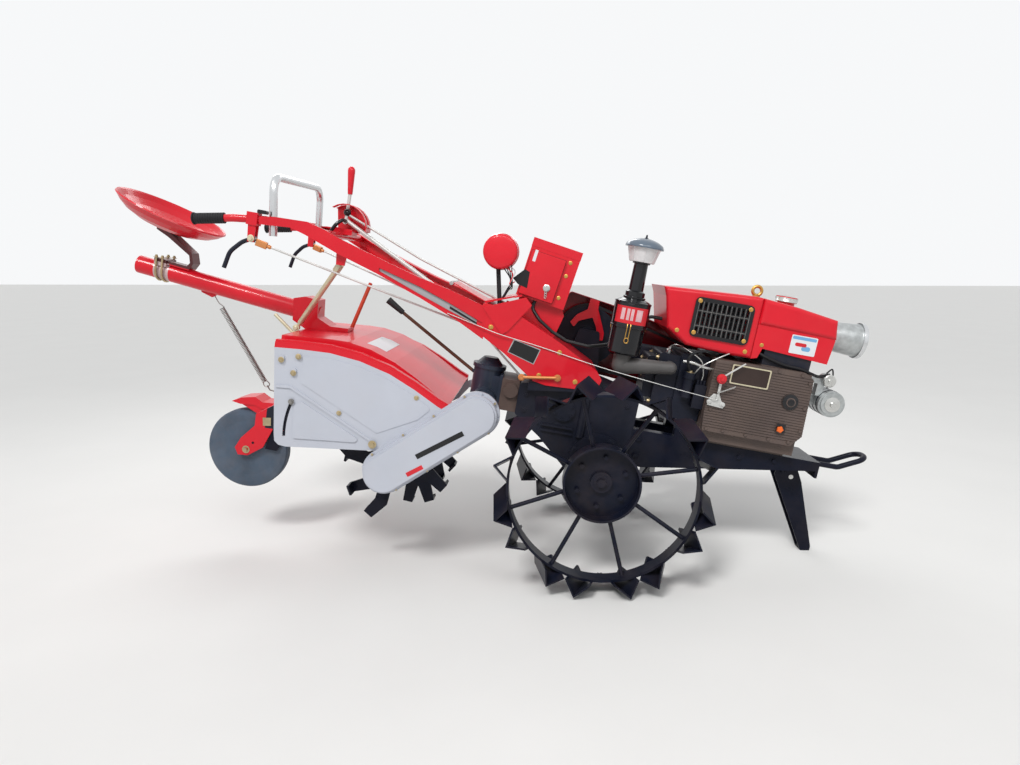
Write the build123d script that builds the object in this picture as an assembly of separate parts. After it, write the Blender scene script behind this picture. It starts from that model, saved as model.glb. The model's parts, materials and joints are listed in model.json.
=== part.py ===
from build123d import *
import os
from math import atan2, cos, hypot, radians, sin, tan

# Walk-behind tractor: single-cylinder engine ahead of the axle, steel paddle wheels,
# rotary tiller, tail wheel and riding seat behind it.
# Modelled level, in millimetres, with the wheel axle as origin: X forward, Y to the
# left, Z up.  The whole machine is tipped nose down on its front stand at the end.
# Side outlines are lists of (x, z).

# Parked stance
NOSE_DOWN = 10.0

# Steel wheels
TRACK_HALF = 450.0
RIM_RADIUS = 350.0
RIM_THICKNESS = 9.0
RIM_WIDTH = 60.0
LUG_COUNT = 16
LUG_LEAN = 180.0 / LUG_COUNT
LUG_TIP_RADIUS = 405.0
LUG_HALF_BASE = 46.0
LUG_PLATE = 6.0
LUG_WIDTH = 150.0
LUG_SKEW = 20.0
AXLE_HEIGHT = (LUG_TIP_RADIUS * cos(radians(LUG_LEAN))
               + LUG_WIDTH / 2 * sin(radians(LUG_SKEW)) * sin(radians(LUG_LEAN)))
SPOKE_COUNT = 8
SPOKE_START = 22.0
SPOKE_RADIUS = 8.0
DRUM_RADIUS = 145.0
DRUM_DISC_Y = 358.0
DRUM_DEPTH = 62.0
AXLE_RADIUS = 25.0
RUNNING_CLEARANCE = 0.05
AXLE_HOUSING_END = 300.0
AXLE_FIT = 60.0

# Engine frame and stand
RAIL_FACE_Y = 120.0
RAIL_FLANGE = 45.0
RAIL_WALL = 8.0
RAIL_TOP_Z = 166.0
RAIL_FRONT_X = 885.0
HITCH_HALF_WIDTH = 46.0
STAND_PIVOT = (795.0, 92.0)
STAND_PIN_RADIUS = 9.0
STAND_HALF_WIDTH = 30.0

# Engine
CRANK_AXIS = (550.0, 365.0)
BLOCK_HALF_WIDTH = 150.0
COVER_FACE_Y = 190.0
CYLINDER_HALF_WIDTH = 118.0
VALVE_COVER_X = 126.0
TANK_FRONT_X = 805.0
CRANK_PULLEY_RADIUS = 78.0
FLYWHEEL_RADIUS = 185.0
HOOD_HALF_WIDTH = 168.0
HOOD_CORNER = 16.0
COVER_GROOVE = 2.5
TANK_FLOOR = ((536.0, 579.0), (792.0, 562.0))
INTAKE_X = 13.0
INTAKE_Y = -145.0
AIR_CLEANER_FOOT = 462.0
SHEET = 3.0

# Gearbox and clutch
GEARBOX_HALF_WIDTH = 115.0
TOWER_OFFSET = 3.0
TOWER_THICKNESS = 24.0
CLUTCH_AXIS = (-106.0, 474.0)
CLUTCH_RADIUS = 130.0
BELT_Y = 232.0
BELT_PITCH = 18.0
BELT_COUNT = 3
BELT_WIDTH = 13.0
BELT_THICKNESS = 11.0

# Handles
HANDLE_HALF_WIDTH = 155.0
HANDLE_SPLAY = 12.0
HANDLE_WALL = 5.0
HANDLE_DEPTH = 36.0
STRIPE_DEPTH = 8.0
TUBE_RADIUS = 14.0
TUBE_START = (-1380.0, 730.0)
TUBE_BEND = (-1500.0, 716.0)
TUBE_SPREAD = 12.0
CROSS_TUBE = (-1192.0, 718.0)
STEER_PIVOT = (-1425.0, 655.0)
STEER_PIN_RADIUS = 5.0
SECTOR_CENTRE = (-1180.0, 758.0)
SECTOR_RADIUS = 90.0
HANGER_PLATE = 8.0
BRACE_PIN = (-1112.0, 624.0)

# Tiller
ROTOR_AXIS = (-808.0, -116.0)
ROTOR_TIP_RADIUS = 240.0
TILLER_HALF_WIDTH = 350.0
TILLER_CASE_X = -502.0
CHAIN_TOP_AXIS = (-500.0, 166.0)
CHAIN_CASE_RADIUS = 86.0
DEPTH_PIVOT = (-870.0, -22.0)
DEPTH_SLOT_RADIUS = 343.0
DEPTH_SLOT = (-5.5, 19.5)
SLOT_MARGIN = 37.0
DEPTH_PIN_RADIUS = 9.0
TAIL_AXLE = (-1477.0, -247.0)
TAIL_PIN_RADIUS = 10.0
TAIL_WHEEL_RADIUS = 174.0
TAIL_WHEEL_HALF_WIDTH = 22.0
STUB_RADIUS = 25.0
STUB_REACH = 80.0
ROTOR_TUBE_RADIUS = 36.0
ROTOR_END_GAP = 20.0
PLATE_THICKNESS = 5.0
RIB_HEIGHT = 5.0
RIM_RISE = 22.0
FLAP_REAR_X = -1259.0

# Seat
SEAT_PLACE = (-1925.0, 0.0, 628.0)
SEAT_TILT = 17.0
SEAT_DISC_DEPTH = 9.0

# Round lamp
LAMP_AXIS = (-530.0, 768.0)
LAMP_RADIUS = 67.0

# Battery box
BATTERY_CENTRE = (-328.0, 716.0)
BATTERY_TILT = 8.4
BATTERY_SIZE = (200.0, 190.0, 235.0)
LID_HEIGHT = 34.0
HINGE_OFFSET = 7.5
HINGE_PIN_RADIUS = 3.0
LEAD_RADIUS = 7.0
LEAD_EXIT = (-20.0, -78.0)


def slab(points, y_min, y_max, corner=0.0):
    """Side outline carried across from y_min to y_max."""
    outline = make_face(Polyline(*points, close=True))
    if corner:
        outline = fillet(outline.vertices(), corner)
    placed = Plane.XZ.offset(-y_max) * outline
    return extrude(placed, y_max - y_min)


def leaf(points, start, splay, inner, outer, corner=0.0):
    """Side outline in a plane that leaves the level of the machine at start=(x, y)."""
    stretch = 1 / cos(radians(splay))
    local = [((start[0] - x) * stretch, z) for x, z in points]
    outline = make_face(Polyline(*local, close=True))
    if corner:
        outline = fillet(outline.vertices(), corner)
    turn = radians(splay)
    rearward = Vector(-cos(turn), -sin(turn), 0)
    outward = Vector(sin(turn), -cos(turn), 0)
    plane = Plane(origin=Vector(start[0], start[1], 0) + outward * inner,
                  x_dir=rearward, z_dir=outward)
    upright = Vector(0, 0, 1).dot(plane.y_dir) > 0
    if not upright:
        outline = mirror(outline, Plane.XZ)
    return extrude(plane * outline, outer - inner)


def block(x, y, z):
    """Box between the given (low, high) pairs."""
    size = (x[1] - x[0], y[1] - y[0], z[1] - z[0])
    middle = ((x[0] + x[1]) / 2, (y[0] + y[1]) / 2, (z[0] + z[1]) / 2)
    return Pos(*middle) * Box(*size)


def round_y(x, z, radius, y_min, y_max):
    """Cylinder across the machine."""
    return Pos(x, (y_min + y_max) / 2, z) * Rot(90, 0, 0) * Cylinder(radius, y_max - y_min)


def round_x(y, z, radius, x_min, x_max):
    """Cylinder along the machine."""
    return Pos((x_min + x_max) / 2, y, z) * Rot(0, 90, 0) * Cylinder(radius, x_max - x_min)


def round_z(x, y, radius, z_min, z_max):
    """Upright cylinder."""
    return Pos(x, y, (z_min + z_max) / 2) * Cylinder(radius, z_max - z_min)


def bar(points, radius, bend=0.0):
    """Round bar through (x, y, z) points, with its corners bent to a radius."""
    if bend:
        path = FilletPolyline(*points, radius=bend)
    else:
        path = Polyline(*points)
    start = Plane(origin=path @ 0, z_dir=path % 0)
    return sweep(start * Circle(radius), path=path)


def strut(a, b, radius):
    """Straight round bar from a to b."""
    start = Vector(*a)
    reach = Vector(*b) - start
    return extrude(Plane(origin=start, z_dir=reach) * Circle(radius), reach.length)


def taper(a, b, start_radius, end_radius):
    """Straight tapered bar from a to b."""
    start = Vector(*a)
    reach = Vector(*b) - start
    middle = Plane(origin=start + reach * 0.5, z_dir=reach)
    return middle * Cone(start_radius, end_radius, reach.length)


def soften_sides(shape, radius):
    """Round the edges around both side faces."""
    faces = shape.faces().sort_by(Axis.Y)
    return fillet(faces[0].edges() + faces[-1].edges(), radius)


def swap_sides(shape):
    """The same piece on the other side of the machine."""
    return mirror(shape, Plane.XZ)


# Steel wheels

def lug():
    """One paddle: a plate folded to a ridge, open at both ends."""
    foot = RIM_RADIUS - RIM_THICKNESS / 2
    rise = LUG_TIP_RADIUS - foot
    slope = hypot(rise, LUG_HALF_BASE)
    drop = LUG_PLATE * slope / LUG_HALF_BASE
    narrow = LUG_PLATE * slope / rise
    ridge = [(-LUG_HALF_BASE, foot), (0, LUG_TIP_RADIUS), (LUG_HALF_BASE, foot),
             (LUG_HALF_BASE - narrow, foot), (0, LUG_TIP_RADIUS - drop),
             (narrow - LUG_HALF_BASE, foot)]
    return slab(ridge, -LUG_WIDTH / 2, LUG_WIDTH / 2)


def steel_wheel():
    """Right-hand wheel: rim, paddles, spokes, dished drum and its axle stub."""
    rim = round_y(0, 0, RIM_RADIUS, -RIM_WIDTH / 2, RIM_WIDTH / 2)
    rim -= round_y(0, 0, RIM_RADIUS - RIM_THICKNESS, -RIM_WIDTH / 2, RIM_WIDTH / 2)
    pieces = []
    for index in range(LUG_COUNT):
        skew = -LUG_SKEW if index % 2 else LUG_SKEW
        turn = 180 - NOSE_DOWN + LUG_LEAN + index * 360 / LUG_COUNT
        pieces.append(Rot(0, turn, 0) * Rot(0, 0, skew) * lug())
    rim = Pos(0, -TRACK_HALF, 0) * (rim + pieces)
    drum_edge = DRUM_DISC_Y + DRUM_DEPTH
    drum = round_y(0, 0, DRUM_RADIUS, -drum_edge, -DRUM_DISC_Y)
    drum -= round_y(0, 0, DRUM_RADIUS - 8, -drum_edge, -DRUM_DISC_Y - 10)
    boss = round_y(0, 0, 46, -DRUM_DISC_Y, -AXLE_HOUSING_END - 8)
    boss += round_y(0, 0, 40, -DRUM_DISC_Y - 26, -DRUM_DISC_Y - 8)
    axle = round_y(0, 0, AXLE_RADIUS, -DRUM_DISC_Y, AXLE_FIT - AXLE_HOUSING_END)
    spokes = []
    for index in range(SPOKE_COUNT):
        spin = radians(SPOKE_START + index * 360 / SPOKE_COUNT)
        inner_end = (140 * sin(spin), -DRUM_DISC_Y - 32, 140 * cos(spin))
        reach = RIM_RADIUS - RIM_THICKNESS / 2
        outer_end = (reach * sin(spin), -TRACK_HALF, reach * cos(spin))
        spokes.append(strut(inner_end, outer_end, SPOKE_RADIUS))
    bolts = []
    for index in range(6):
        spin = radians(index * 60)
        bolts.append(round_y(95 * sin(spin), 95 * cos(spin), 8, -DRUM_DISC_Y - 20, -DRUM_DISC_Y - 8))
    return rim + drum + boss + axle + spokes + bolts


# Gearbox, engine frame, hitch and stand

def gearbox():
    outline = [(-364, 268), (-364, 140), (-250, 62), (-112, -60), (-60, -100), (70, -100),
               (122, -40), (122, 288), (-48, 327)]
    casting = slab(outline, -GEARBOX_HALF_WIDTH, GEARBOX_HALF_WIDTH, 12)
    seat = [(-330, 250), (-90, 285), (-90, 318), (-330, 286)]
    casting += slab(seat, 5 - HANDLE_HALF_WIDTH, HANDLE_HALF_WIDTH - 5)
    for side in (-1, 1):
        steps = ((GEARBOX_HALF_WIDTH, 130, 118), (130, 175, 78), (175, AXLE_HOUSING_END - 14, 56),
                 (AXLE_HOUSING_END - 14, AXLE_HOUSING_END, 70))
        for near, far, radius in steps:
            ends = sorted((side * near, side * far))
            casting += round_y(0, 0, radius, ends[0], ends[1])
        ends = sorted((side * (AXLE_HOUSING_END - AXLE_FIT - 10), side * AXLE_HOUSING_END))
        casting -= round_y(0, 0, AXLE_RADIUS + RUNNING_CLEARANCE, ends[0], ends[1])
        ends = sorted((side * (GEARBOX_HALF_WIDTH - 5), side * (GEARBOX_HALF_WIDTH + 10)))
        for low in (92, 114):
            casting += block((-250, -120), ends, (low, low + 8))
        casting += round_y(-170, 190, 46, ends[0], ends[1])
        casting += round_z(-88, side * (GEARBOX_HALF_WIDTH - 3), 18, 90, 262)
    tower = [(-215, 200), (-15, 200), (-62, 505), (-150, 505)]
    tower_y = HANDLE_HALF_WIDTH + TOWER_OFFSET
    casting += slab(tower, tower_y, tower_y + TOWER_THICKNESS, 10)
    casting += block((-190, -40), (GEARBOX_HALF_WIDTH - 5, tower_y + 2), (205, 280))
    casting += round_y(CLUTCH_AXIS[0], CLUTCH_AXIS[1], 24, tower_y + 2, BELT_Y - 26)
    return casting


def engine_frame():
    outline = [(122, RAIL_TOP_Z), (RAIL_FRONT_X, RAIL_TOP_Z), (RAIL_FRONT_X, 131),
               (814, 119), (498, 67), (180, 14), (122, 14)]
    inset = RAIL_WALL
    hollow = [(122, RAIL_TOP_Z - inset), (RAIL_FRONT_X, RAIL_TOP_Z - inset), (RAIL_FRONT_X, 139),
              (814, 127), (498, 75), (180, 22), (122, 22)]
    rail = slab(outline, -RAIL_FACE_Y, RAIL_FLANGE - RAIL_FACE_Y)
    rail -= slab(hollow, RAIL_WALL - RAIL_FACE_Y, RAIL_FLANGE - RAIL_FACE_Y)
    frame = rail + swap_sides(rail)
    frame += block((122, 132), (-RAIL_FACE_Y, RAIL_FACE_Y), (14, RAIL_TOP_Z))
    frame += block((RAIL_FRONT_X - 10, RAIL_FRONT_X), (-RAIL_FACE_Y, RAIL_FACE_Y), (100, RAIL_TOP_Z))
    frame += block((760, RAIL_FRONT_X), (-RAIL_FACE_Y, RAIL_FACE_Y), (RAIL_TOP_Z - 8, RAIL_TOP_Z))
    frame += block((300, 330), (-RAIL_FACE_Y + 2, RAIL_FACE_Y - 2), (50, 66))
    mount = [(286, RAIL_TOP_Z - 4), (286, 236), (330, 240), (362, 214), (362, RAIL_TOP_Z - 4)]
    for side in (-1, 1):
        ends = sorted((side * 80, side * RAIL_FACE_Y))
        frame += slab(mount, ends[0], ends[1])
    cheek = [(755, RAIL_TOP_Z - 4), (835, RAIL_TOP_Z - 4), (820, 78), (775, 78)]
    for side in (-1, 1):
        near = side * (STAND_HALF_WIDTH + 6)
        far = side * (STAND_HALF_WIDTH + 14)
        frame += slab(cheek, min(near, far), max(near, far), 4)
    pin_end = STAND_HALF_WIDTH + 18
    frame += round_y(STAND_PIVOT[0], STAND_PIVOT[1], STAND_PIN_RADIUS, -pin_end, pin_end)
    return frame


def front_stand():
    """Tapered channel leg that swings on the pin under the frame."""
    ground_x = (938.0, 975.0)
    tip = radians(NOSE_DOWN)
    ground = [(x, (x * sin(tip) - AXLE_HEIGHT) / cos(tip)) for x in ground_x]
    outline = [(765, 114), (835, 114), (870, 52), (ground_x[1], ground[1][1] + 20), ground[1],
               ground[0], (752, 68)]
    leg = slab(outline, -STAND_HALF_WIDTH, STAND_HALF_WIDTH)
    inner = [(740, 150), (815, 150), (858, 48), (ground_x[1] - 10, ground[1][1] + 26),
             (ground_x[0] - 18, ground[0][1] - 60), (680, 60)]
    leg -= slab(inner, 5 - STAND_HALF_WIDTH, STAND_HALF_WIDTH - 5)
    foot = [ground[0], ground[1], (ground[1][0], ground[1][1] + 10), (ground[0][0], ground[0][1] + 10)]
    leg += slab(foot, -STAND_HALF_WIDTH, STAND_HALF_WIDTH)
    leg -= round_y(STAND_PIVOT[0], STAND_PIVOT[1], STAND_PIN_RADIUS + RUNNING_CLEARANCE,
                   -STAND_HALF_WIDTH, STAND_HALF_WIDTH)
    return leg


def hitch_loop():
    z = RAIL_TOP_Z - 20
    side = [(RAIL_FRONT_X, -HITCH_HALF_WIDTH, z), (RAIL_FRONT_X + 105, -HITCH_HALF_WIDTH, z),
            (RAIL_FRONT_X + 215, -HITCH_HALF_WIDTH, z + 58)]
    far_side = [(x, -y, z) for x, y, z in reversed(side)]
    return bar(side + far_side, 11, HITCH_HALF_WIDTH - 6)


# Engine

def crankcase():
    """Block, sump and feet, with the ribbed side cover."""
    case = block((367, 748), (-160, BLOCK_HALF_WIDTH), (182, 512))
    case += block((395, 715), (-72, 72), (130, 190))
    case += block((395, 730), (-118, 118), (RAIL_TOP_Z, 184))
    cover = [(367, 510), (363, 300), (370, 226), (720, 226), (756, 270), (747, 497), (710, 518), (590, 516)]
    case += slab(cover, -COVER_FACE_Y, -150, 8)
    rib_pitch = 10.5
    for index in range(25):
        low = 243 + index * rib_pitch
        case -= block((360, 760), (-COVER_FACE_Y - 1, COVER_GROOVE - COVER_FACE_Y), (low, low + COVER_GROOVE))
    case += slab([(429, 426), (584, 426), (584, 506), (429, 506)], -COVER_FACE_Y - 2, 10 - COVER_FACE_Y, 4)
    case += round_y(678, 397, 32, -COVER_FACE_Y - 4, 10 - COVER_FACE_Y)
    case += round_y(678, 397, 18, -COVER_FACE_Y - 12, 10 - COVER_FACE_Y)
    case += block((648, 682), (-COVER_FACE_Y - 8, 10 - COVER_FACE_Y), (272, 308))
    case += round_y(394, 441, 16, -COVER_FACE_Y - 18, 10 - COVER_FACE_Y)
    saddle = [(550, 505), (735, 505), (735, tank_floor(735) - 0.3), (550, tank_floor(550) - 0.3)]
    case += slab(saddle, -BLOCK_HALF_WIDTH, BLOCK_HALF_WIDTH)
    return case


def tank_floor(x):
    """Height of the tank's underside at a given place along the machine."""
    rear, front = TANK_FLOOR
    return rear[1] + (x - rear[0]) * (front[1] - rear[1]) / (front[0] - rear[0])


def cylinder_head():
    """Cylinder, head and valve cover, with the injection pump and fuel filter on its side."""
    half = CYLINDER_HALF_WIDTH
    head = slab([(250, 240), (363, 240), (363, 505), (250, 505)], -half, half, 10)
    head += slab([(165, 262), (260, 262), (260, 490), (165, 490)], 12 - half, half - 12, 10)
    head += slab([(VALVE_COVER_X, 300), (175, 300), (175, 468), (VALVE_COVER_X, 468)], -82, 82, 12)
    head += block((318, 362), (-half - 36, 4 - half), (300, 395))
    for x in (328, 341, 354):
        head += round_z(x, -half - 18, 6, 395, 412)
    head += round_z(288, -half - 27, 21, 336, 424)
    head += round_z(288, -half - 27, 25, 412, 436)
    head += block((276, 300), (-half - 15, 4 - half), (410, 434))
    return head


def radiator_hood():
    """Hood over the radiator, recessed behind both grilles."""
    outline = [(115, 749), (477, 771), (500, 769), (500, 533), (430, 532), (243, 541), (159, 593),
               (130, 715)]
    hood = slab(outline, -HOOD_HALF_WIDTH, HOOD_HALF_WIDTH)
    hood = soften_sides(hood, HOOD_CORNER)
    for side in (-1, 1):
        ends = sorted((side * (HOOD_HALF_WIDTH - 26), side * (HOOD_HALF_WIDTH + 1)))
        hood -= block((255, 456), (ends[0], ends[1]), (590, 722))
    return hood


def fuel_tank():
    """Tank ahead of the hood: its upper half stands out over a fold."""
    upper = [(500, 769), (634, 757), (793, 734), (TANK_FRONT_X, 660), (500, 668)]
    lower = [(500, 690), (790, 690), (801, 655), TANK_FLOOR[1], TANK_FLOOR[0], (524, 540), (500, 533)]
    tank = soften_sides(slab(upper, -HOOD_HALF_WIDTH, HOOD_HALF_WIDTH), HOOD_CORNER)
    tank += slab(lower, 9 - HOOD_HALF_WIDTH, HOOD_HALF_WIDTH - 9)
    tank += round_z(637, 0, 34, 740, 772)
    tank += round_z(637, 0, 42, 770, 792)
    tank += Pos(514, 0, 795) * Rot(90, 0, 0) * Torus(18, 6)
    tank += round_z(514, 0, 9, 755, 780)
    return tank


def hood_grille():
    """Pressed panels with three rows of upright slots, one on each side of the hood."""
    outline = [(243, 579), (470, 579), (470, 733), (243, 733)]
    panel = slab(outline, -HOOD_HALF_WIDTH - 7, -HOOD_HALF_WIDTH, 20)
    rows = ((594, 618), (628, 676), (686, 716))
    slot_pitch = 18.0
    for low, high in rows:
        for index in range(11):
            left = 261 + index * slot_pitch
            panel -= block((left, left + 9), (-HOOD_HALF_WIDTH - 8, -HOOD_HALF_WIDTH), (low, high))
    return Compound(children=[panel.solid(), swap_sides(panel).solid()])


def headlamp():
    back = TANK_FRONT_X + 0.3
    profile = [(back, 0), (back, 44), (815, 56), (935, 66), (955, 70), (955, 62), (948, 0)]
    face = make_face(Polyline(*profile, close=True))
    shell = revolve(Plane.XY * face, Axis.X, 360)
    return Pos(0, -20, 669) * shell


def generator():
    """Round generator on its bracket, with the regulator can above it."""
    x, z = 866.0, 408.0
    body = round_y(x, z, 52, -122, 20)
    body += round_y(x, z, 44, -128, -122)
    body += round_y(x, z, 18, 20, 44)
    body += round_y(x, z, 34, 44, 64)
    body += block((748, 830), (-70, -10), (388, 428))
    body += round_y(838, 497, 25, -118, -62)
    body += block((748, 830), (-100, -66), (478, 500))
    body += block((802, 828), (-100, -66), (430, 500))
    return body


def air_cleaner():
    """Oil-bath cleaner with its neck, dust bowl and cap."""
    foot = AIR_CLEANER_FOOT
    profile = [(0, foot), (55, foot), (66, foot + 8), (66, 569), (70, 574), (70, 660), (68, 666), (62, 673),
               (38, 683), (38, 706), (29, 712), (27, 818), (47, 822), (61, 877), (72, 877), (68, 889),
               (52, 899), (38, 905), (0, 911)]
    face = make_face(Polyline(*profile, close=True))
    return Pos(INTAKE_X, INTAKE_Y, 0) * revolve(Plane.XZ * face, Axis.Z, 360)


def intake_elbow():
    """Tapered pipe from the foot of the cleaner forward to the port in the head."""
    low = (INTAKE_X, INTAKE_Y, 416)
    port = (210, INTAKE_Y, 439)
    wide = 34.0
    narrow = 24.0
    elbow = round_z(INTAKE_X, INTAKE_Y, wide, low[2], AIR_CLEANER_FOOT)
    elbow += Pos(*low) * Sphere(wide)
    elbow += taper(low, port, wide, narrow)
    elbow += Pos(*port) * Sphere(narrow)
    elbow += round_y(port[0], port[2], narrow, INTAKE_Y, 12 - CYLINDER_HALF_WIDTH)
    return elbow


def muffler():
    """Silencer beside the cylinder, with its tail pipe and its port flange."""
    radius = 48.0
    y = CYLINDER_HALF_WIDTH + radius + 6
    z = 440.0
    can = round_x(y, z, radius, 40, 330)
    can += round_x(y, z, 20, 0, 40)
    can += round_y(300, z, 22, CYLINDER_HALF_WIDTH, y)
    return can


def flywheel():
    x, z = CRANK_AXIS
    wheel = round_y(x, z, FLYWHEEL_RADIUS, 172, 222)
    wheel -= round_y(x, z, FLYWHEEL_RADIUS - 26, 208, 222)
    wheel += round_y(x, z, 40, BLOCK_HALF_WIDTH, 172)
    pulley_end = BELT_Y + BELT_COUNT * BELT_PITCH + 4
    wheel += round_y(x, z, CRANK_PULLEY_RADIUS, 208, pulley_end)
    return wheel


def clutch_pulley():
    x, z = CLUTCH_AXIS
    start = BELT_Y - 6
    end = BELT_Y + BELT_COUNT * BELT_PITCH + 4
    wheel = round_y(x, z, CLUTCH_RADIUS, start, end)
    wheel -= round_y(x, z, CLUTCH_RADIUS - 18, end - 16, end)
    wheel += round_y(x, z, 40, BELT_Y - 26, end + 6)
    return wheel


def drive_belts():
    """Open belts around the engine and clutch pulleys."""
    ends = ((CLUTCH_AXIS, CLUTCH_RADIUS), (CRANK_AXIS, CRANK_PULLEY_RADIUS))
    loops = []
    for rise in (BELT_THICKNESS, 0):
        circles = [Pos(*axis) * Circle(radius + rise) for axis, radius in ends]
        loops.append(make_hull((circles[0] + circles[1]).edges()))
    loop = loops[0] - loops[1]
    belts = []
    for index in range(BELT_COUNT):
        far_side = BELT_Y + index * BELT_PITCH + BELT_WIDTH
        belts.append(extrude(Plane.XZ.offset(-far_side) * loop, BELT_WIDTH))
    return Compound(children=[solid for belt in belts for solid in belt.solids()])


def belt_guard():
    """Sheet shell round the belts on the left side, open towards the machine, and the clutch fork."""
    outline = [(-275, 430), (-190, 335), (-106, 312), (20, 304), (470, 262), (560, 262), (640, 300),
               (668, 380), (650, 450), (560, 475), (240, 575), (-26, 628), (-215, 655), (-262, 560)]
    outer_y = BELT_Y + BELT_COUNT * BELT_PITCH + 26
    guard = slab(outline, outer_y - 60, outer_y, 16)
    face = make_face(Polyline(*outline, close=True))
    inner = offset(fillet(face.vertices(), 16), -SHEET)
    guard -= extrude(Plane.XZ.offset(SHEET - outer_y) * inner, 80)
    fork = [(-127, 640), (-86, 636), (-85, 599), (-58, 540), (-40, 500), (-40, 468), (-62, 464),
            (-80, 522), (-103, 560), (-160, 536), (-176, 506), (-196, 524), (-172, 562), (-130, 592)]
    fork_y = HANDLE_HALF_WIDTH + TOWER_OFFSET + TOWER_THICKNESS + 0.3
    guard += slab(fork, fork_y, fork_y + 7, 4)
    guard += round_y(-106, 626, 6, fork_y, outer_y)
    return guard


# Handles and controls

def handle_base():
    """Folded sheet box over the gearbox, open below."""
    outline = [(-315, 292), (-262, 283), (-123, 291), (-59, 300), (-48, 344), (-73, 376),
               (-236, 460), (-413, 538), (-478, 556), (-560, 562), (-582, 453), (-446, 379),
               (-376, 333)]
    box = slab(outline, -HANDLE_HALF_WIDTH, HANDLE_HALF_WIDTH, 6)
    inner = [(-322, 270), (-40, 270), (-54, 340), (-78, 370), (-238, 454), (-415, 532), (-480, 550),
             (-600, 557), (-600, 440), (-449, 374), (-380, 328)]
    box -= slab(inner, HANDLE_WALL - HANDLE_HALF_WIDTH, HANDLE_HALF_WIDTH - HANDLE_WALL)
    return box


def handle_arm():
    """Right-hand tapered channel with its tube end."""
    outline = [(-540, 420), (-540, 545), (-694, 590), (-812, 617), (-889, 639), (-1042, 685),
               (-1122, 710), (-1172, 731), (-1237, 749), (-1348, 746), (-1400, 738), (-1400, 710),
               (-1293, 718), (-1239, 701), (-1121, 654), (-971, 605), (-801, 541), (-645, 475)]
    start = (-540.0, -HANDLE_HALF_WIDTH)
    arm = leaf(outline, start, HANDLE_SPLAY, -HANDLE_DEPTH, 0)
    face = [(-530, 410), (-530, 539), (-693, 585), (-811, 612), (-888, 634), (-1041, 680),
            (-1120, 705), (-1171, 726), (-1237, 744), (-1348, 741), (-1395, 733), (-1395, 716),
            (-1294, 723), (-1241, 706), (-1123, 659), (-973, 610), (-803, 546), (-647, 480)]
    arm -= leaf(face, start, HANDLE_SPLAY, -HANDLE_DEPTH, -HANDLE_WALL)
    stripe = [(-965, 628), (-807, 583), (-686, 539), (-552, 484), (-552, 462), (-689, 510), (-802, 552),
              (-965, 614)]
    backing = [(-973, 635), (-807, 590), (-686, 546), (-546, 491), (-546, 456), (-689, 504), (-802, 546),
               (-973, 609)]
    floor = -STRIPE_DEPTH
    arm -= leaf(stripe, start, HANDLE_SPLAY, floor, 1)
    arm += leaf(backing, start, HANDLE_SPLAY, floor - HANDLE_WALL, floor)
    return arm


def splay_y(x):
    """Outer side of the arms at a given place along the machine."""
    return HANDLE_HALF_WIDTH + (-540 - x) * sin(radians(HANDLE_SPLAY)) / cos(radians(HANDLE_SPLAY))


def handle_tube_points():
    near = tube_y(TUBE_START[0])
    far = near + TUBE_SPREAD
    return [(TUBE_START[0], -near, TUBE_START[1]), (TUBE_BEND[0], -far, TUBE_BEND[1]), (-1640, -far, 690)]


def tube_y(x):
    """Middle of the tube end between its start in the channel and its bend."""
    share = (TUBE_START[0] - x) / (TUBE_START[0] - TUBE_BEND[0])
    return splay_y(TUBE_START[0]) - HANDLE_DEPTH / 2 + TUBE_SPREAD * share


def lever_sector():
    """Curved plate with a slot, over the foot of the main lever."""
    x, z = SECTOR_CENTRE
    radius = SECTOR_RADIUS
    start = -5.0
    stop = 130.0
    steps = 9
    rim = []
    lining = []
    for index in range(steps + 1):
        angle = radians(start + (stop - start) * index / steps)
        rim.append((x + radius * cos(angle), z + radius * sin(angle)))
        lining.append((x + (radius - SHEET) * cos(angle), z + (radius - SHEET) * sin(angle)))
    sector = slab(rim + lining[::-1], -34, 44)
    sector -= block((x - 90, x + 95), (-10, 20), (z + 7, z + 102))
    sector += slab(rim + [(x - 45, z - 20), (x + 35, z - 20)], 44 - SHEET, 44)
    sector += block((x - 45, x + 35), (-34, 44), (z - 32, z - 8))
    return sector


def battery_shelf():
    """Folded plates and posts that carry the battery box over the base."""
    shelf = slab([(-556, 560), (-420, 612), (-420, 618), (-560, 568)], -120, 120)
    shelf -= block((-565, -462), (-24, 4), (540, 630))
    for side in (-1, 1):
        ends = sorted((side * 60, side * 66))
        post = [(-430, 545), (-300, 484), (-262, 470), (-238, 560), (-262, 610), (-430, 622)]
        shelf += slab(post, ends[0], ends[1])
    strap = [(-560, 545), (-470, 452), (-448, 470), (-372, 585), (-400, 612), (-452, 590)]
    strap_face = HANDLE_HALF_WIDTH + 6
    shelf += slab(strap, -strap_face, -HANDLE_HALF_WIDTH)
    shelf += slab([(-444, 602), (-416, 613), (-416, 619), (-444, 608)], -strap_face, -115)
    return shelf


def rear_deck():
    """Plate behind the battery shelf with a rolled rear edge, open where the rods pass."""
    deck = slab([(-700, 618), (-548, 563), (-548, 559), (-700, 614)], -100, 100)
    return deck + round_y(-703, 613, 7, -100, 100)


def steering_hanger():
    """Collar on the right-hand tube end, with two ears and the pin of the steering lever."""
    x, z = STEER_PIVOT
    y = steer_y()
    hanger = block((x - 22, x + 18), (-y - 20, 20 - y), (703, 749))
    ear = [(x - 16, 710), (x - 12, z - 13), (x + 12, z - 13), (x + 14, 710)]
    for near in (11, -15):
        hanger += slab(ear, -y - near - 4, -y - near)
    return hanger + round_y(x, z, STEER_PIN_RADIUS, -y - 15, 15 - y)


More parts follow.
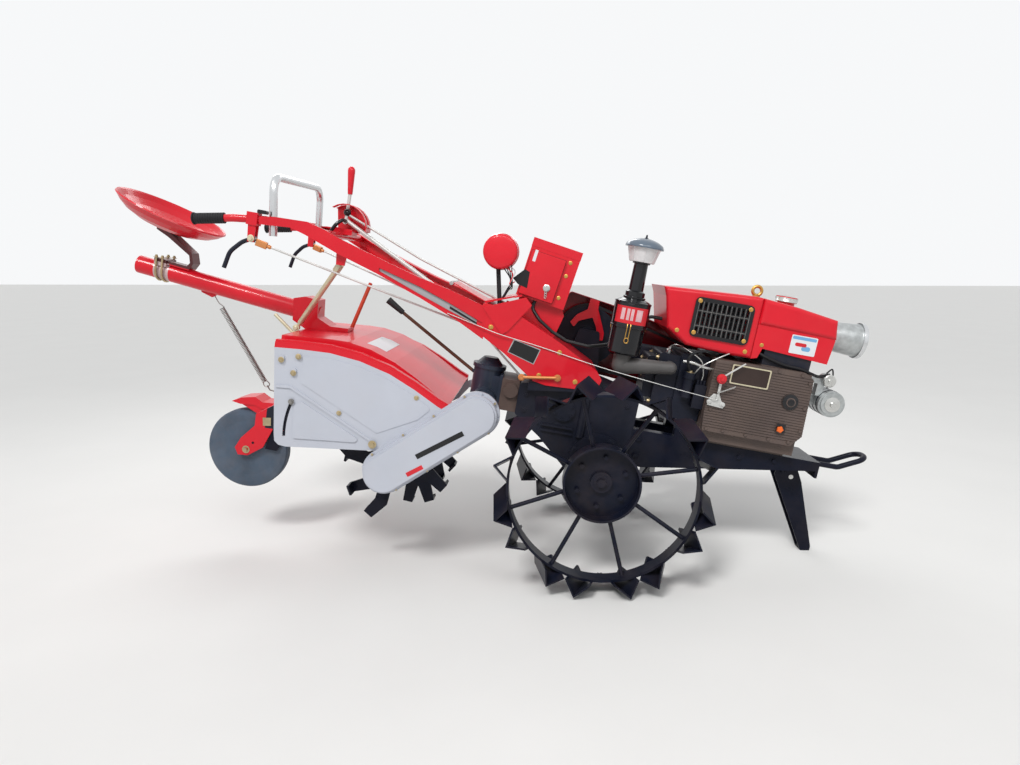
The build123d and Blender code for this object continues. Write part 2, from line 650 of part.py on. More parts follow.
def handle_frame():
    """Welded handles: base box, splayed channels, tube ends, sector and battery shelf."""
    arm = handle_arm()
    tube = bar(handle_tube_points(), TUBE_RADIUS, 60)
    hanger = steering_hanger()
    frame = handle_base() + arm + swap_sides(arm) + tube + swap_sides(tube)
    frame += hanger + swap_sides(hanger)
    cross_y = splay_y(CROSS_TUBE[0]) - 6
    frame += round_y(CROSS_TUBE[0], CROSS_TUBE[1], 14, -cross_y, cross_y)
    frame += lever_sector()
    x, z = BRACE_PIN
    plate = [(x - 23, z + 66), (x - 16, z - 12), (x + 16, z - 12), (x + 24, z + 56)]
    frame += slab(plate, -brace_y(), HANGER_PLATE - brace_y())
    frame += battery_shelf() + rear_deck()
    frame += strut((-500, -108, 560), (LAMP_AXIS[0], -108, LAMP_AXIS[1] - 64), 7)
    frame -= round_y(LAMP_AXIS[0], LAMP_AXIS[1], LAMP_RADIUS + 0.3, -160, -60)
    frame += block((-479, -469), (-18, -2), (550, 578))
    frame -= battery_space()
    return frame


def steer_y():
    """Middle of the tube end at the steering lever's pin."""
    return tube_y(STEER_PIVOT[0])


def brace_y():
    """Outer face of the hanger for the brace rod, inside the right-hand channel."""
    return splay_y(BRACE_PIN[0]) - HANDLE_DEPTH / 2 - 9


def grip():
    points = handle_tube_points()
    start = Vector(*points[1])
    end = Vector(*points[2])
    along = (end - start).normalized()
    sleeve = extrude(Plane(origin=end - along * 112, z_dir=along) * Circle(20), 118)
    return sleeve - bar(points, TUBE_RADIUS + RUNNING_CLEARANCE, 60)


def steering_lever():
    """Curved hand lever with its long rod into the base."""
    x, z = STEER_PIVOT
    y = -steer_y()
    lever = bar([(x, y, z), (-1462, y, 636), (-1500, y - 8, 594), (-1515, y - 10, 532)], 8, 60)
    lever += round_y(x, z, 14, y - 10, y + 10)
    lever -= round_y(x, z, STEER_PIN_RADIUS + RUNNING_CLEARANCE, y - 12, y + 12)
    base_y = 55 - HANDLE_HALF_WIDTH
    rod = [(x + 9, y, z - 9), (-639, base_y - 20, 469), (-560, base_y, 450), (-352, base_y, 281)]
    return lever + bar(rod, 4, 40)


def main_lever():
    """Clutch lever with its tube into the base, and the shift rod beside it."""
    x, z = SECTOR_CENTRE
    foot = (x - 7, z + 20)
    lever = strut((foot[0], 5, foot[1]), (x - 4, 5, z + 142), 7)
    lever += Pos(x - 5, 5, z + 57) * Sphere(15)
    lever += knob((x - 4, 5, z + 132), (x - 10, 5, z + 220))
    lever += bar([(x - 4, 5, z + 51), (-860, -4, 684), (-481.2, -10, 566)], 5, 60)
    lever += strut((foot[0], 5, foot[1] + 6), (-560, 5, 471), 9)
    lever += round_y(foot[0], foot[1], 11, -6, 16)
    return lever


def knob(a, b):
    """Tapered hand knob from a to b."""
    return taper(a, b, 9, 14) + Pos(*b) * Sphere(14)


def guard_hoop():
    leg_y = splay_y(-1380) - HANDLE_DEPTH - 18.6
    hoop = [(-1366, -leg_y, 675), (-1388, -leg_y, 890), (-1400, leg_y, 905), (-1385, leg_y, 690)]
    return bar(hoop, 15, 60)


def round_lamp():
    x, z = LAMP_AXIS
    lamp = round_y(x, z, LAMP_RADIUS, -150, -84)
    lamp += round_y(x, z, LAMP_RADIUS - 9, -84, -60)
    lamp += round_y(x, z, LAMP_RADIUS + 4, -92, -84)
    return lamp


# Battery box

def battery_place(shape):
    return Pos(BATTERY_CENTRE[0], 0, BATTERY_CENTRE[1]) * Rot(0, BATTERY_TILT, 0) * shape


def battery_space():
    return battery_place(Box(*BATTERY_SIZE))


def battery_box():
    length, width, height = BATTERY_SIZE
    body_height = height - LID_HEIGHT
    seam = height / 2 - LID_HEIGHT
    body = Pos(0, 0, -LID_HEIGHT / 2) * Box(length, width, body_height)
    cavity = Box(length - 6, width - 6, body_height)
    body -= Pos(0, 0, -LID_HEIGHT / 2 + 3) * cavity
    body -= Pos(LEAD_EXIT[0], LEAD_EXIT[1], -height / 2) * Cylinder(LEAD_RADIUS + 2.5, 20)
    hinge_y = width / 2 + HINGE_OFFSET
    for side in (-1, 1):
        ears = sorted((side * 34, side * 44))
        body += block((ears[0], ears[1]), (width / 2 - 2, hinge_y + 5), (seam - 12, seam))
        body += round_x(hinge_y, seam, 5, ears[0], ears[1])
    body += round_x(hinge_y, seam, HINGE_PIN_RADIUS, -40, 40)
    return battery_place(body)


def battery():
    length, width, height = BATTERY_SIZE
    cell_height = height - LID_HEIGHT - 30
    cell = Pos(0, 0, -height / 2 + 3 + cell_height / 2) * Box(length - 16, width - 16, cell_height)
    top = -height / 2 + 3 + cell_height
    for side in (-1, 1):
        cell += Pos(side * 70, -60, top + 7) * Cylinder(8, 14)
    return battery_place(cell) + battery_lead()


def battery_lead():
    """Lead from the floor of the box over the base and behind the cleaner to the hood."""
    height = BATTERY_SIZE[2]
    inside = battery_place(Pos(LEAD_EXIT[0], LEAD_EXIT[1], 8 - height / 2)).position
    below = battery_place(Pos(LEAD_EXIT[0], LEAD_EXIT[1], -height / 2 - 34)).position
    run = [tuple(inside), tuple(below), (-332, -100, 530), (-273, -100, 492), (-211, -100, 466),
           (-122, -100, 460), (-40, -58, 478), (102, -60, 620), (150.6, -60, 620)]
    return bar(run, LEAD_RADIUS, 28)


def battery_lid():
    length, width, height = BATTERY_SIZE
    seam = height / 2 - LID_HEIGHT
    lid = block((-length / 2 - 1, length / 2 + 1), (-width / 2 - 1, width / 2 + 1),
                (seam + 0.3, height / 2))
    lid -= block((2 - length / 2, length / 2 - 2), (2 - width / 2, width / 2 - 2),
                 (seam, height / 2 - 3))
    hinge_y = width / 2 + HINGE_OFFSET
    lid += round_x(hinge_y, seam, 6, -30, 30)
    lid += block((-30, 30), (width / 2, hinge_y), (seam + 2, seam + 6))
    lid -= round_x(hinge_y, seam, HINGE_PIN_RADIUS + RUNNING_CLEARANCE, -30, 30)
    return battery_place(lid)


# Tiller

def rear_flange():
    flange = block((-436, -364), (-95, 95), (140, 270))
    flange += round_y(-396, 228, 30, -110, -90)
    return flange


def tiller_gearbox():
    """Upright round casting with its cap, bolting flange, side tubes and shift lever."""
    case = round_z(TILLER_CASE_X, 0, 64, 100, 290)
    case += round_z(TILLER_CASE_X, 0, 70, 290, 306)
    case += Pos(TILLER_CASE_X, 0, 320) * Cone(58, 30, 30)
    case += block((TILLER_CASE_X, -436), (-60, 60), (140, 268))
    case += block((-448, -436), (-82, 82), (130, 280))
    x, z = CHAIN_TOP_AXIS
    case += round_y(x, z, 50, -120, 120)
    case += round_y(x, z, 44, -TILLER_HALF_WIDTH, TILLER_HALF_WIDTH)
    case += bar([(-954, 0, 486), (-889, 0, 447), (-555, 0, 256)], 7, 60)
    case += taper((-898, 0, 452), (-966, 0, 493), 11, 15)
    return case


def chain_case():
    """Stadium-shaped case: bolting flange with a raised cover."""
    near = -TILLER_HALF_WIDTH - 62
    far = -TILLER_HALF_WIDTH - 5
    case = stadium(CHAIN_CASE_RADIUS, far - 12, far)
    case += stadium(CHAIN_CASE_RADIUS - 10, near + 10, far - 12)
    case += stadium(CHAIN_CASE_RADIUS - 18, near, near + 10)
    x1, z1 = CHAIN_TOP_AXIS
    x2, z2 = ROTOR_AXIS
    lean = atan2(z2 - z1, x2 - x1)
    reach = hypot(x2 - x1, z2 - z1)
    bolt_ring = CHAIN_CASE_RADIUS - 5
    for share in (0.0, 0.33, 0.66, 1.0):
        for side in (-1, 1):
            x = x1 + (x2 - x1) * share - side * sin(lean) * bolt_ring
            z = z1 + (z2 - z1) * share + side * cos(lean) * bolt_ring
            case += round_y(x, z, 6, far - 20, far - 12)
    for centre, way in ((CHAIN_TOP_AXIS, -1), (ROTOR_AXIS, 1)):
        for spread in (-0.8, 0.0, 0.8):
            x = centre[0] + way * cos(lean + spread) * bolt_ring
            z = centre[1] + way * sin(lean + spread) * bolt_ring
            case += round_y(x, z, 6, far - 20, far - 12)
    case += round_y(x2, z2, STUB_RADIUS, far - 6, STUB_REACH - TILLER_HALF_WIDTH)
    return case


def stadium(radius, y_min, y_max):
    """Plate with round ends about the tiller's drive axis and its rotor axis."""
    x1, z1 = CHAIN_TOP_AXIS
    x2, z2 = ROTOR_AXIS
    length = hypot(x2 - x1, z2 - z1)
    across = ((z2 - z1) / length * radius, (x1 - x2) / length * radius)
    strip = [(x1 + across[0], z1 + across[1]), (x2 + across[0], z2 + across[1]),
             (x2 - across[0], z2 - across[1]), (x1 - across[0], z1 - across[1])]
    plate = slab(strip, y_min, y_max)
    plate += round_y(x1, z1, radius, y_min, y_max)
    plate += round_y(x2, z2, radius, y_min, y_max)
    return plate


PLATE_TOP = [(-1285, 277), (-1190, 286), (-1077, 292), (-962, 282), (-845, 254), (-744, 212),
             (-652, 166), (-612, 150)]
COVER_CREST = [(-1285, 317), (-1190, 326), (-1100, 334), (-1030, 336), (-940, 322), (-845, 290),
               (-760, 248), (-690, 208), (-640, 180)]
COVER_CREST_FOOT = [(-1285, 277), (-1190, 286), (-1077, 292), (-962, 282), (-845, 254), (-744, 212),
                    (-652, 166)]


def side_plate():
    """Right-hand plate with pressed ribs and the depth slot; the left one is its mirror."""
    inner = -TILLER_HALF_WIDTH
    outer = inner - PLATE_THICKNESS
    rear = DEPTH_PIVOT[0] - DEPTH_SLOT_RADIUS - SLOT_MARGIN
    outline = PLATE_TOP + [(-600, 120), (-640, 60), (-760, -25), (-848, -46), (-993, -66),
                           (rear + 50, -95), (rear + 22, -93), (rear + 5, -80), (rear, -54)]
    plate = slab(outline, outer, inner)
    plate += slab([(-600, 120), (-450, 180), (-480, 225), (-612, 150)], outer, inner)
    ridge = [(-1262, 128), (-1262, 138), (-1206, 144), (-870, -10), (-870, -20), (-1208, 134)]
    plate += slab(ridge, outer - RIB_HEIGHT, outer)
    panel = [(-1160, 92), (-925, -14), (-940, -28), (-1176, -56), (-1186, 70)]
    plate += slab(panel, outer - RIB_HEIGHT, outer, 8)
    field = [(-1172, 162), (-1172, 262), (-1077, 272), (-962, 262), (-845, 232), (-744, 190), (-672, 152),
             (-716, 102), (-862, 22)]
    plate += slab(field, outer - RIB_HEIGHT / 2, outer, 12)
    plate -= depth_slot(outer - RIB_HEIGHT, inner)
    plate -= round_y(ROTOR_AXIS[0], ROTOR_AXIS[1], STUB_RADIUS + 13, outer - RIB_HEIGHT, inner)
    plate += round_y(DEPTH_PIVOT[0], DEPTH_PIVOT[1], DEPTH_PIN_RADIUS, outer - 10, inner + 18)
    for x, z in ((-1250, 244), (-1190, 262), (-1200, 204)):
        plate += round_y(x, z, 9, outer - 7, outer)
    return plate


def depth_slot(y_min, y_max):
    """Arc about the depth pivot that its clamp bolt slides in."""
    steps = 8
    low = radians(DEPTH_SLOT[0])
    high = radians(DEPTH_SLOT[1])
    angles = [low + (high - low) * index / steps for index in range(steps + 1)]
    x, z = DEPTH_PIVOT
    far = [(x - (DEPTH_SLOT_RADIUS + 6) * cos(a), z + (DEPTH_SLOT_RADIUS + 6) * sin(a)) for a in angles]
    near = [(x - (DEPTH_SLOT_RADIUS - 6) * cos(a), z + (DEPTH_SLOT_RADIUS - 6) * sin(a)) for a in angles]
    return slab(far + near[::-1], y_min, y_max)


def left_side_plate():
    plate = swap_sides(side_plate())
    x, z = ROTOR_AXIS
    outline = [(-860, -40), (-740, -30), (-720, -150), (-760, -180), (-840, -180), (-880, -130)]
    carrier = slab(outline, TILLER_HALF_WIDTH, TILLER_HALF_WIDTH + 8, 12)
    carrier += round_y(x, z, 60, TILLER_HALF_WIDTH, TILLER_HALF_WIDTH + 34)
    carrier += round_y(x, z, STUB_RADIUS, TILLER_HALF_WIDTH - STUB_REACH, TILLER_HALF_WIDTH + 24)
    return plate + carrier


def tiller_cover():
    """Pressed cover: a rolled rim over the side plates and a raised crown between them."""
    half = TILLER_HALF_WIDTH + PLATE_THICKNESS
    rim = PLATE_TOP + [(x, z + RIM_RISE) for x, z in reversed(PLATE_TOP)]
    cover = slab(rim, -half, half)
    rim_inner = [(x, z - 20) for x, z in PLATE_TOP]
    rim_inner += [(x, z + RIM_RISE - 5) for x, z in reversed(PLATE_TOP)]
    cover -= slab(rim_inner, 14 - half, half - 14)
    bead = [(x, z + RIM_RISE) for x, z in PLATE_TOP]
    bead += [(x, z + RIM_RISE + 8) for x, z in reversed(PLATE_TOP)]
    for side in (-1, 1):
        ends = sorted((side * (half - 26), side * (half - 4)))
        cover += slab(bead, ends[0], ends[1])
    base = [(x, z + RIM_RISE - 5) for x, z in COVER_CREST_FOOT]
    cover += slab(base + COVER_CREST[::-1], 60 - half, half - 60)
    hollow = [(x, z) for x, z in COVER_CREST_FOOT] + [(x, z - 4) for x, z in COVER_CREST[::-1]]
    cover -= slab(hollow, 64 - half, half - 64)
    return cover


def rear_flap():
    half = TILLER_HALF_WIDTH - 32
    flap = slab([(-1285, 286), (-1280, 286), (-1243, -60), (-1250, -60)], -half, half)
    flap += round_y(-1279, 286.8, 7, -half, half)
    return flap


def rotor():
    x, z = ROTOR_AXIS
    end = TILLER_HALF_WIDTH - ROTOR_END_GAP
    socket = TILLER_HALF_WIDTH - STUB_REACH - 4
    tube = round_y(x, z, ROTOR_TUBE_RADIUS, -end, end)
    discs = 6
    tines_per_disc = 4
    spacing = 2 * (end - 60) / (discs - 1)
    pieces = []
    for disc in range(discs):
        y = (disc - (discs - 1) / 2) * spacing
        pieces.append(round_y(x, z, 62, y - 5, y + 5))
        for tine in range(tines_per_disc):
            side = 1 if tine % 2 else -1
            if disc == 0:
                side = 1
            if disc == discs - 1:
                side = -1
            turn = tine * 90 + disc * 30
            arm = [(-24, 40), (24, 40), (40, 150), (78, 212), (44, ROTOR_TIP_RADIUS - 6), (-10, 170)]
            blade = slab(arm, 0, 9)
            toe = [(38, 227), (72, 204), (78, 212), (44, ROTOR_TIP_RADIUS - 6)]
            blade += slab(toe, 0, 56)
            if side < 0:
                blade = mirror(blade, Plane.XZ)
            pieces.append(Pos(x, y, z) * Rot(0, turn, 0) * blade)
    reel = tube + pieces
    for side in (-1, 1):
        ends = sorted((side * socket, side * end))
        reel -= round_y(x, z, STUB_RADIUS + RUNNING_CLEARANCE, ends[0], ends[1])
    return reel


def tail_arm():
    """Depth arms inside the side plates, cross beam, hood plate and wheel fork."""
    x0, z0 = DEPTH_PIVOT
    inner = TILLER_HALF_WIDTH - 14
    outer = TILLER_HALF_WIDTH - 5
    bolt_angle = radians(DEPTH_SLOT[1] - 1.5)
    bolt = (x0 - DEPTH_SLOT_RADIUS * cos(bolt_angle), z0 + DEPTH_SLOT_RADIUS * sin(bolt_angle))
    blade = [(x0 + 22, z0 - 14), (x0 + 18, z0 + 16), (bolt[0] + 8, bolt[1] + 20), (bolt[0] - 20, bolt[1] + 4),
             (-1330, 8), (-1330, -42), (-1215, -36)]
    arm = slab(blade, -outer, -inner)
    arm += round_y(bolt[0], bolt[1], 4.5, -TILLER_HALF_WIDTH - PLATE_THICKNESS - 14, -inner)
    arm -= round_y(x0, z0, DEPTH_PIN_RADIUS + RUNNING_CLEARANCE, -outer, -inner)
    both = arm + swap_sides(arm)
    both += block((-1330, -1295), (-outer, outer), (-42, 8))
    hood = [(-1558, -44), (-1518, -22), (-1459, -8), (-1426, -26), (-1325, -16), (-1325, -42),
            (-1400, -54), (-1430, -54), (-1459, -44), (-1520, -50)]
    both += slab(hood, -48, 48)
    cheek = [(-1526, -46), (-1380, -42), (-1372, -139), (-1405, -225), (-1466, -272), (-1510, -276),
             (-1526, -246), (-1504, -199), (-1442, -125), (-1420, -90)]
    for side in (-1, 1):
        ends = sorted((side * 36, side * 42))
        both += slab(cheek, ends[0], ends[1])
    both += round_y(TAIL_AXLE[0], TAIL_AXLE[1], TAIL_PIN_RADIUS, -50, 50)
    return both


def tail_wheel():
    x, z = TAIL_AXLE
    half = TAIL_WHEEL_HALF_WIDTH
    profile = [(TAIL_PIN_RADIUS + RUNNING_CLEARANCE, -30), (32, -30), (40, -half + 4), (120, -half + 4),
               (150, -half), (TAIL_WHEEL_RADIUS - 6, -half), (TAIL_WHEEL_RADIUS, -half + 6),
               (TAIL_WHEEL_RADIUS, half - 6), (TAIL_WHEEL_RADIUS - 6, half), (150, half),
               (120, half - 4), (40, half - 4), (32, 30), (TAIL_PIN_RADIUS + RUNNING_CLEARANCE, 30)]
    face = make_face(Polyline(*profile, close=True))
    return Pos(x, 0, z) * Rot(90, 0, 0) * revolve(Plane.XZ * face, Axis.Z, 360)


# Seat and links

def seat_beam():
    """Tube that carries the seat, with its saddle on the cover and the curved seat spring."""
    beam = strut((-2027, 0, 456), (-1240, 0, 378), 37)
    bracket = [(-1284, 317.4), (-1340, 345), (-1347, 435), (-1299, 450), (-1243, 444), (-1238, 372),
               (-1180, 346), (-1105, 350), (-1105, 334.0), (-1190, 326.4)]
    beam += slab(bracket, -46, 46, 3)
    top_rear = under_seat(-24)
    top_front = under_seat(34)
    spring = [(-1935, 494), (-1812, 484), (-1800, 500), (-1806, 530), (-1900, 590),
              (top_rear[0], top_rear[1] - 12), top_rear, top_front, (-1796, 540), (-1786, 498),
              (-1804, 468), (-1935, 480)]
    beam += slab(spring, -30, 30)
    beam += slab([(-1945, 470), (-1945, 500), (-1895, 496), (-1895, 466)], -40, 40, 4)
    beam += strut((-1114, 40, 341), (-1061, 50, 546), 6)
    return beam


def under_seat(forward):
    """Place just under the seat's mounting disc, so far ahead of its middle."""
    tilt = radians(SEAT_TILT)
    drop = SEAT_DISC_DEPTH + 0.3
    x, z = SEAT_PLACE[0], SEAT_PLACE[2]
    return (x + forward * cos(tilt) - drop * sin(tilt), z - forward * sin(tilt) - drop * cos(tilt))


def seat_pan():
    """Dished pan with a rolled edge."""
    radius = 208.0
    profile = [(0, 0), (70, 2), (120, 10), (165, 28), (192, 48), (radius, 66), (radius + 6, 70),
               (radius + 9, 64), (radius + 4, 60), (196, 43), (168, 23), (122, 5), (71, -3), (0, -5)]
    face = make_face(Polyline(*profile, close=True))
    dish = revolve(Plane.XZ * face, Axis.Z, 360)
    dish += round_z(0, 0, 34, -SEAT_DISC_DEPTH, -3)
    return Pos(*SEAT_PLACE) * Rot(0, SEAT_TILT, 0) * dish


def tension_spring():
    """Close-wound spring from the beam, with a wire from its foot to the flap."""
    start = Vector(-1700, 0, 384.3)
    end = Vector(-1416, 0, 18)
    along = (end - start).normalized()
    coil = strut(start + along * 70, end - along * 50, 11)
    coil += strut(start, start + along * 80, 3)
    hook = [end - along * 60, end, (FLAP_REAR_X, 0, end.Z)]
    coil += bar([tuple(point) for point in hook], 3, 12)
    return coil


def brace_rod():
    """Rod from the right-hand handle channel down to the saddle of the seat beam."""
    top = (BRACE_PIN[0], 15 - brace_y() + HANGER_PLATE, BRACE_PIN[1])
    foot = (-1296, -110, 326)
    eye_face = 0.3 - brace_y() + HANGER_PLATE
    rod = strut(top, foot, 8)
    rod += round_y(foot[0], foot[2], 11, -120, -100)
    rod += round_y(top[0], top[2], 12, eye_face, eye_face + 15)
    return rod


# Placing and export

def build():
    nodes = {}
    wheel = steel_wheel()
    nodes["wheel_right"] = wheel
    nodes["wheel_left"] = swap_sides(wheel)
    nodes["gearbox"] = gearbox()
    nodes["engine_frame"] = engine_frame()
    nodes["front_stand"] = front_stand()
    nodes["hitch_loop"] = hitch_loop()
    nodes["crankcase"] = crankcase()
    nodes["cylinder_head"] = cylinder_head()
    nodes["radiator_hood"] = radiator_hood()
    nodes["fuel_tank"] = fuel_tank()
    nodes["hood_grille"] = hood_grille()
    nodes["headlamp"] = headlamp()
    nodes["generator"] = generator()
    nodes["air_cleaner"] = air_cleaner()
    nodes["intake_elbow"] = intake_elbow()
    nodes["muffler"] = muffler()
    nodes["flywheel"] = flywheel()
    nodes["clutch_pulley"] = clutch_pulley()
    nodes["drive_belts"] = drive_belts()
    nodes["belt_guard"] = belt_guard()
    nodes["handle_frame"] = handle_frame()
    sleeve = grip()
    nodes["grip_right"] = sleeve
    nodes["grip_left"] = swap_sides(sleeve)
    lever = steering_lever()
    nodes["steering_lever_right"] = lever
    nodes["steering_lever_left"] = swap_sides(lever)
    nodes["main_lever"] = main_lever()
    nodes["guard_hoop"] = guard_hoop()
    nodes["round_lamp"] = round_lamp()
    nodes["battery_box"] = battery_box()
    nodes["battery"] = battery()
    nodes["battery_lid"] = battery_lid()
    nodes["rear_flange"] = rear_flange()
    nodes["tiller_gearbox"] = tiller_gearbox()
    nodes["chain_case"] = chain_case()
    nodes["side_plate_right"] = side_plate()
    nodes["side_plate_left"] = left_side_plate()
    nodes["tiller_cover"] = tiller_cover()
    nodes["rear_flap"] = rear_flap()
    nodes["rotor"] = rotor()
    nodes["tail_arm"] = tail_arm()
    nodes["tail_wheel"] = tail_wheel()
    nodes["seat_beam"] = seat_beam()
    nodes["seat_pan"] = seat_pan()
    nodes["tension_spring"] = tension_spring()
    nodes["brace_rod"] = brace_rod()
    return nodes


nodes = build()
tipped = {name: Rot(0, NOSE_DOWN, 0) * shape for name, shape in nodes.items()}
box = Compound(children=[solid for shape in tipped.values() for solid in shape.solids()]).bounding_box()
shift = Pos(-(box.min.X + box.max.X) / 2, -(box.min.Y + box.max.Y) / 2, -box.min.Z)
os.makedirs("parts", exist_ok=True)
for name, shape in tipped.items():
    export_step(shift * shape, os.path.join("parts", name + ".step"))
print("axle to frame shift", -(box.min.X + box.max.X) / 2, -(box.min.Y + box.max.Y) / 2, -box.min.Z)
print("size", box.size)
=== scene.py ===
import json
from math import atan2, cos, pi, radians, sin, tan

import bmesh
import bpy
from mathutils import Matrix, Vector


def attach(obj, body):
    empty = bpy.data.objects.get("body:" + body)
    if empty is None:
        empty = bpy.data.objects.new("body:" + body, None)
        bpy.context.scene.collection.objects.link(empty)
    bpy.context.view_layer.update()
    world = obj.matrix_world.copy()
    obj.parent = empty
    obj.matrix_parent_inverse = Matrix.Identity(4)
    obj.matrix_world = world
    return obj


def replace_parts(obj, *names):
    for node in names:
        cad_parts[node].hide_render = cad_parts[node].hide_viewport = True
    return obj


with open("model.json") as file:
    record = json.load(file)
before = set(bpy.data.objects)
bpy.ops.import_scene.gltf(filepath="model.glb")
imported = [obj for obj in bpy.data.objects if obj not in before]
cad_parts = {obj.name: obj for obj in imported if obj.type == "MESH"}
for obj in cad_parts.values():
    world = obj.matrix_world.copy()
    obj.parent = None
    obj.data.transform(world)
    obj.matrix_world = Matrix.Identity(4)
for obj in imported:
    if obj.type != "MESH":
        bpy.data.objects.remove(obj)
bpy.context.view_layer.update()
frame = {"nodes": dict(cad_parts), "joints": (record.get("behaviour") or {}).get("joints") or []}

# Places below are in the machine's own level frame: millimetres from the wheel axle,
# X forward, Y left, Z up.  The parked machine is tipped nose down about that axle.
NOSE_DOWN = 10.0
AXLE = [joint for joint in frame["joints"] if joint["name"] == "wheel_right_spin"][0]["pos_m"]
MACHINE = (Matrix.Translation((AXLE[0], 0, AXLE[2])) @ Matrix.Rotation(radians(NOSE_DOWN), 4, "Y")
           @ Matrix.Diagonal((0.001, 0.001, 0.001, 1)))

# Camera, fitted to the photograph
CAMERA_FROM_AXLE = (-0.2209, -2.7973, 0.7927)
CAMERA_YAW = -0.0491
CAMERA_PITCH = 0.1713
FOCAL_PIXELS = 673.5
FRAME_PIXELS = 1020

# Sizes shared with the part
HOOD_SIDE = 168.0
TANK_SIDE = HOOD_SIDE - 9
COVER_SIDE = 190.0
HANDLE_SIDE = 155.0
HANDLE_SPLAY = 12.0
HANDLE_START = -540.0
HANDLE_END = -1380.0
TILLER_SIDE = 355.0
LAMP_AXIS = (-530.0, 768.0)
LAMP_RADIUS = 67.0
DEPTH_PIVOT = (-870.0, -22.0)
DEPTH_SLOT_RADIUS = 343.0
CLAMP_ANGLE = 18.0
STRIPE_DEPTH = 8.0
TAIL_AXLE = (-1477.0, -247.0)
CHAIN_TOP_AXIS = (-500.0, 166.0)
ROTOR_AXIS = (-808.0, -116.0)
CHAIN_CASE_RADIUS = 86.0
CHAIN_CASE_FACE = TILLER_SIDE + 57
BEAM_REAR = (-2027.0, 456.0)
BEAM_FALL = 78.0 / 787.0
BRACE_TOP = (-1112.0, -226.6, 624.0)
BRACE_FOOT = (-1296.0, -110.0, 326.0)
STEER_PIVOT = (-1425.0, 320.0, 655.0)
HUB_FACE = 358.0
HUB_BOLT_RADIUS = 95
BATTERY_CENTRE = (-328.0, 716.0)
BATTERY_TILT = 8.4
BATTERY_HALF_LENGTH = 100.0
BATTERY_HALF_WIDTH = 95.0
SEAT_PLACE = (-1925.0, 628.0)
SEAT_TILT = 17.0
CLEANER = (13.0, -145.0)

# Middles of small trim: x and z, but y and z for the headlamp and x alone for the tank cap
GRILLE_CENTRE = (355, 656)
TANK_CAP_X = 637
EYE_CENTRE = (514, 795)
HEADLAMP_AXIS = (-20, 669)
FILLER_AXIS = (678, 397)
GOVERNOR_PIVOT = (398, 352)
REGULATOR_AXIS = (838, 497)
GENERATOR_AXIS = (866, 408)


# Materials

def feed(tree, node, inputs):
    """Give each input its value, or a link where the value is another node's output."""
    for name, value in inputs.items():
        if isinstance(value, bpy.types.NodeSocket):
            tree.links.new(value, node.inputs[name])
        else:
            node.inputs[name].default_value = value


def node_in(tree, kind, inputs, **traits):
    """New shader node with its traits set and its inputs fed."""
    node = tree.nodes.new("ShaderNode" + kind)
    for trait, value in traits.items():
        setattr(node, trait, value)
    feed(tree, node, inputs)
    return node


def past_limit(tree, place, direction, limit):
    """1 where the place, measured along a machine direction, is past the limit; 0 elsewhere."""
    turned = Matrix.Rotation(radians(NOSE_DOWN), 3, "Y") @ Vector(direction)
    along = node_in(tree, "VectorMath", {0: place, 1: turned}, operation="DOT_PRODUCT")
    edge = limit / 1000 + turned.dot(Vector((AXLE[0], 0, AXLE[2])))
    past = node_in(tree, "Math", {0: along.outputs["Value"], 1: edge}, operation="GREATER_THAN")
    return past.outputs["Value"]


def picked(tree, beyond, before, after, data_type="FLOAT"):
    """The second value beyond a limit, the first one before it."""
    pick = node_in(tree, "Mix", {}, data_type=data_type)
    feed(tree, pick, {"Factor": beyond, "A": before, "B": after})
    return pick.outputs["Result"]


def toned(tree, mottle, base, tone):
    """Colour that turns a little darker and lighter with the mottling."""
    ramp = node_in(tree, "ValToRGB", {"Fac": mottle})
    low, high = ramp.color_ramp.elements
    low.position = 0.3
    high.position = 0.7
    low.color = (*(channel * (1 - tone) for channel in base), 1)
    high.color = (*(min(1.0, channel * (1 + tone) + 0.01 * tone) for channel in base), 1)
    return ramp.outputs["Color"]


def roughened(tree, mottle, base):
    """Roughness that varies with the mottling."""
    limits = {"To Min": max(0.02, base * 0.75), "To Max": min(1.0, base * 1.3)}
    return node_in(tree, "MapRange", {"Value": mottle, **limits}).outputs["Result"]


def dusted(tree, place, colour, rough, dust):
    """Colour and roughness with dust in broad patches, dull where it lies."""
    drift = node_in(tree, "TexNoise", {"Vector": place, "Scale": 9.0, "Detail": 8.0, "Roughness": 0.65})
    mask = node_in(tree, "MapRange", {"Value": drift.outputs["Fac"], "From Min": 0.42, "From Max": 0.75,
                                      "To Min": 0.0, "To Max": dust}).outputs["Result"]
    dull = node_in(tree, "Math", {0: rough, 1: mask}, operation="ADD", use_clamp=True)
    return picked(tree, mask, colour, (*DUST, 1), "RGBA"), dull.outputs["Value"]


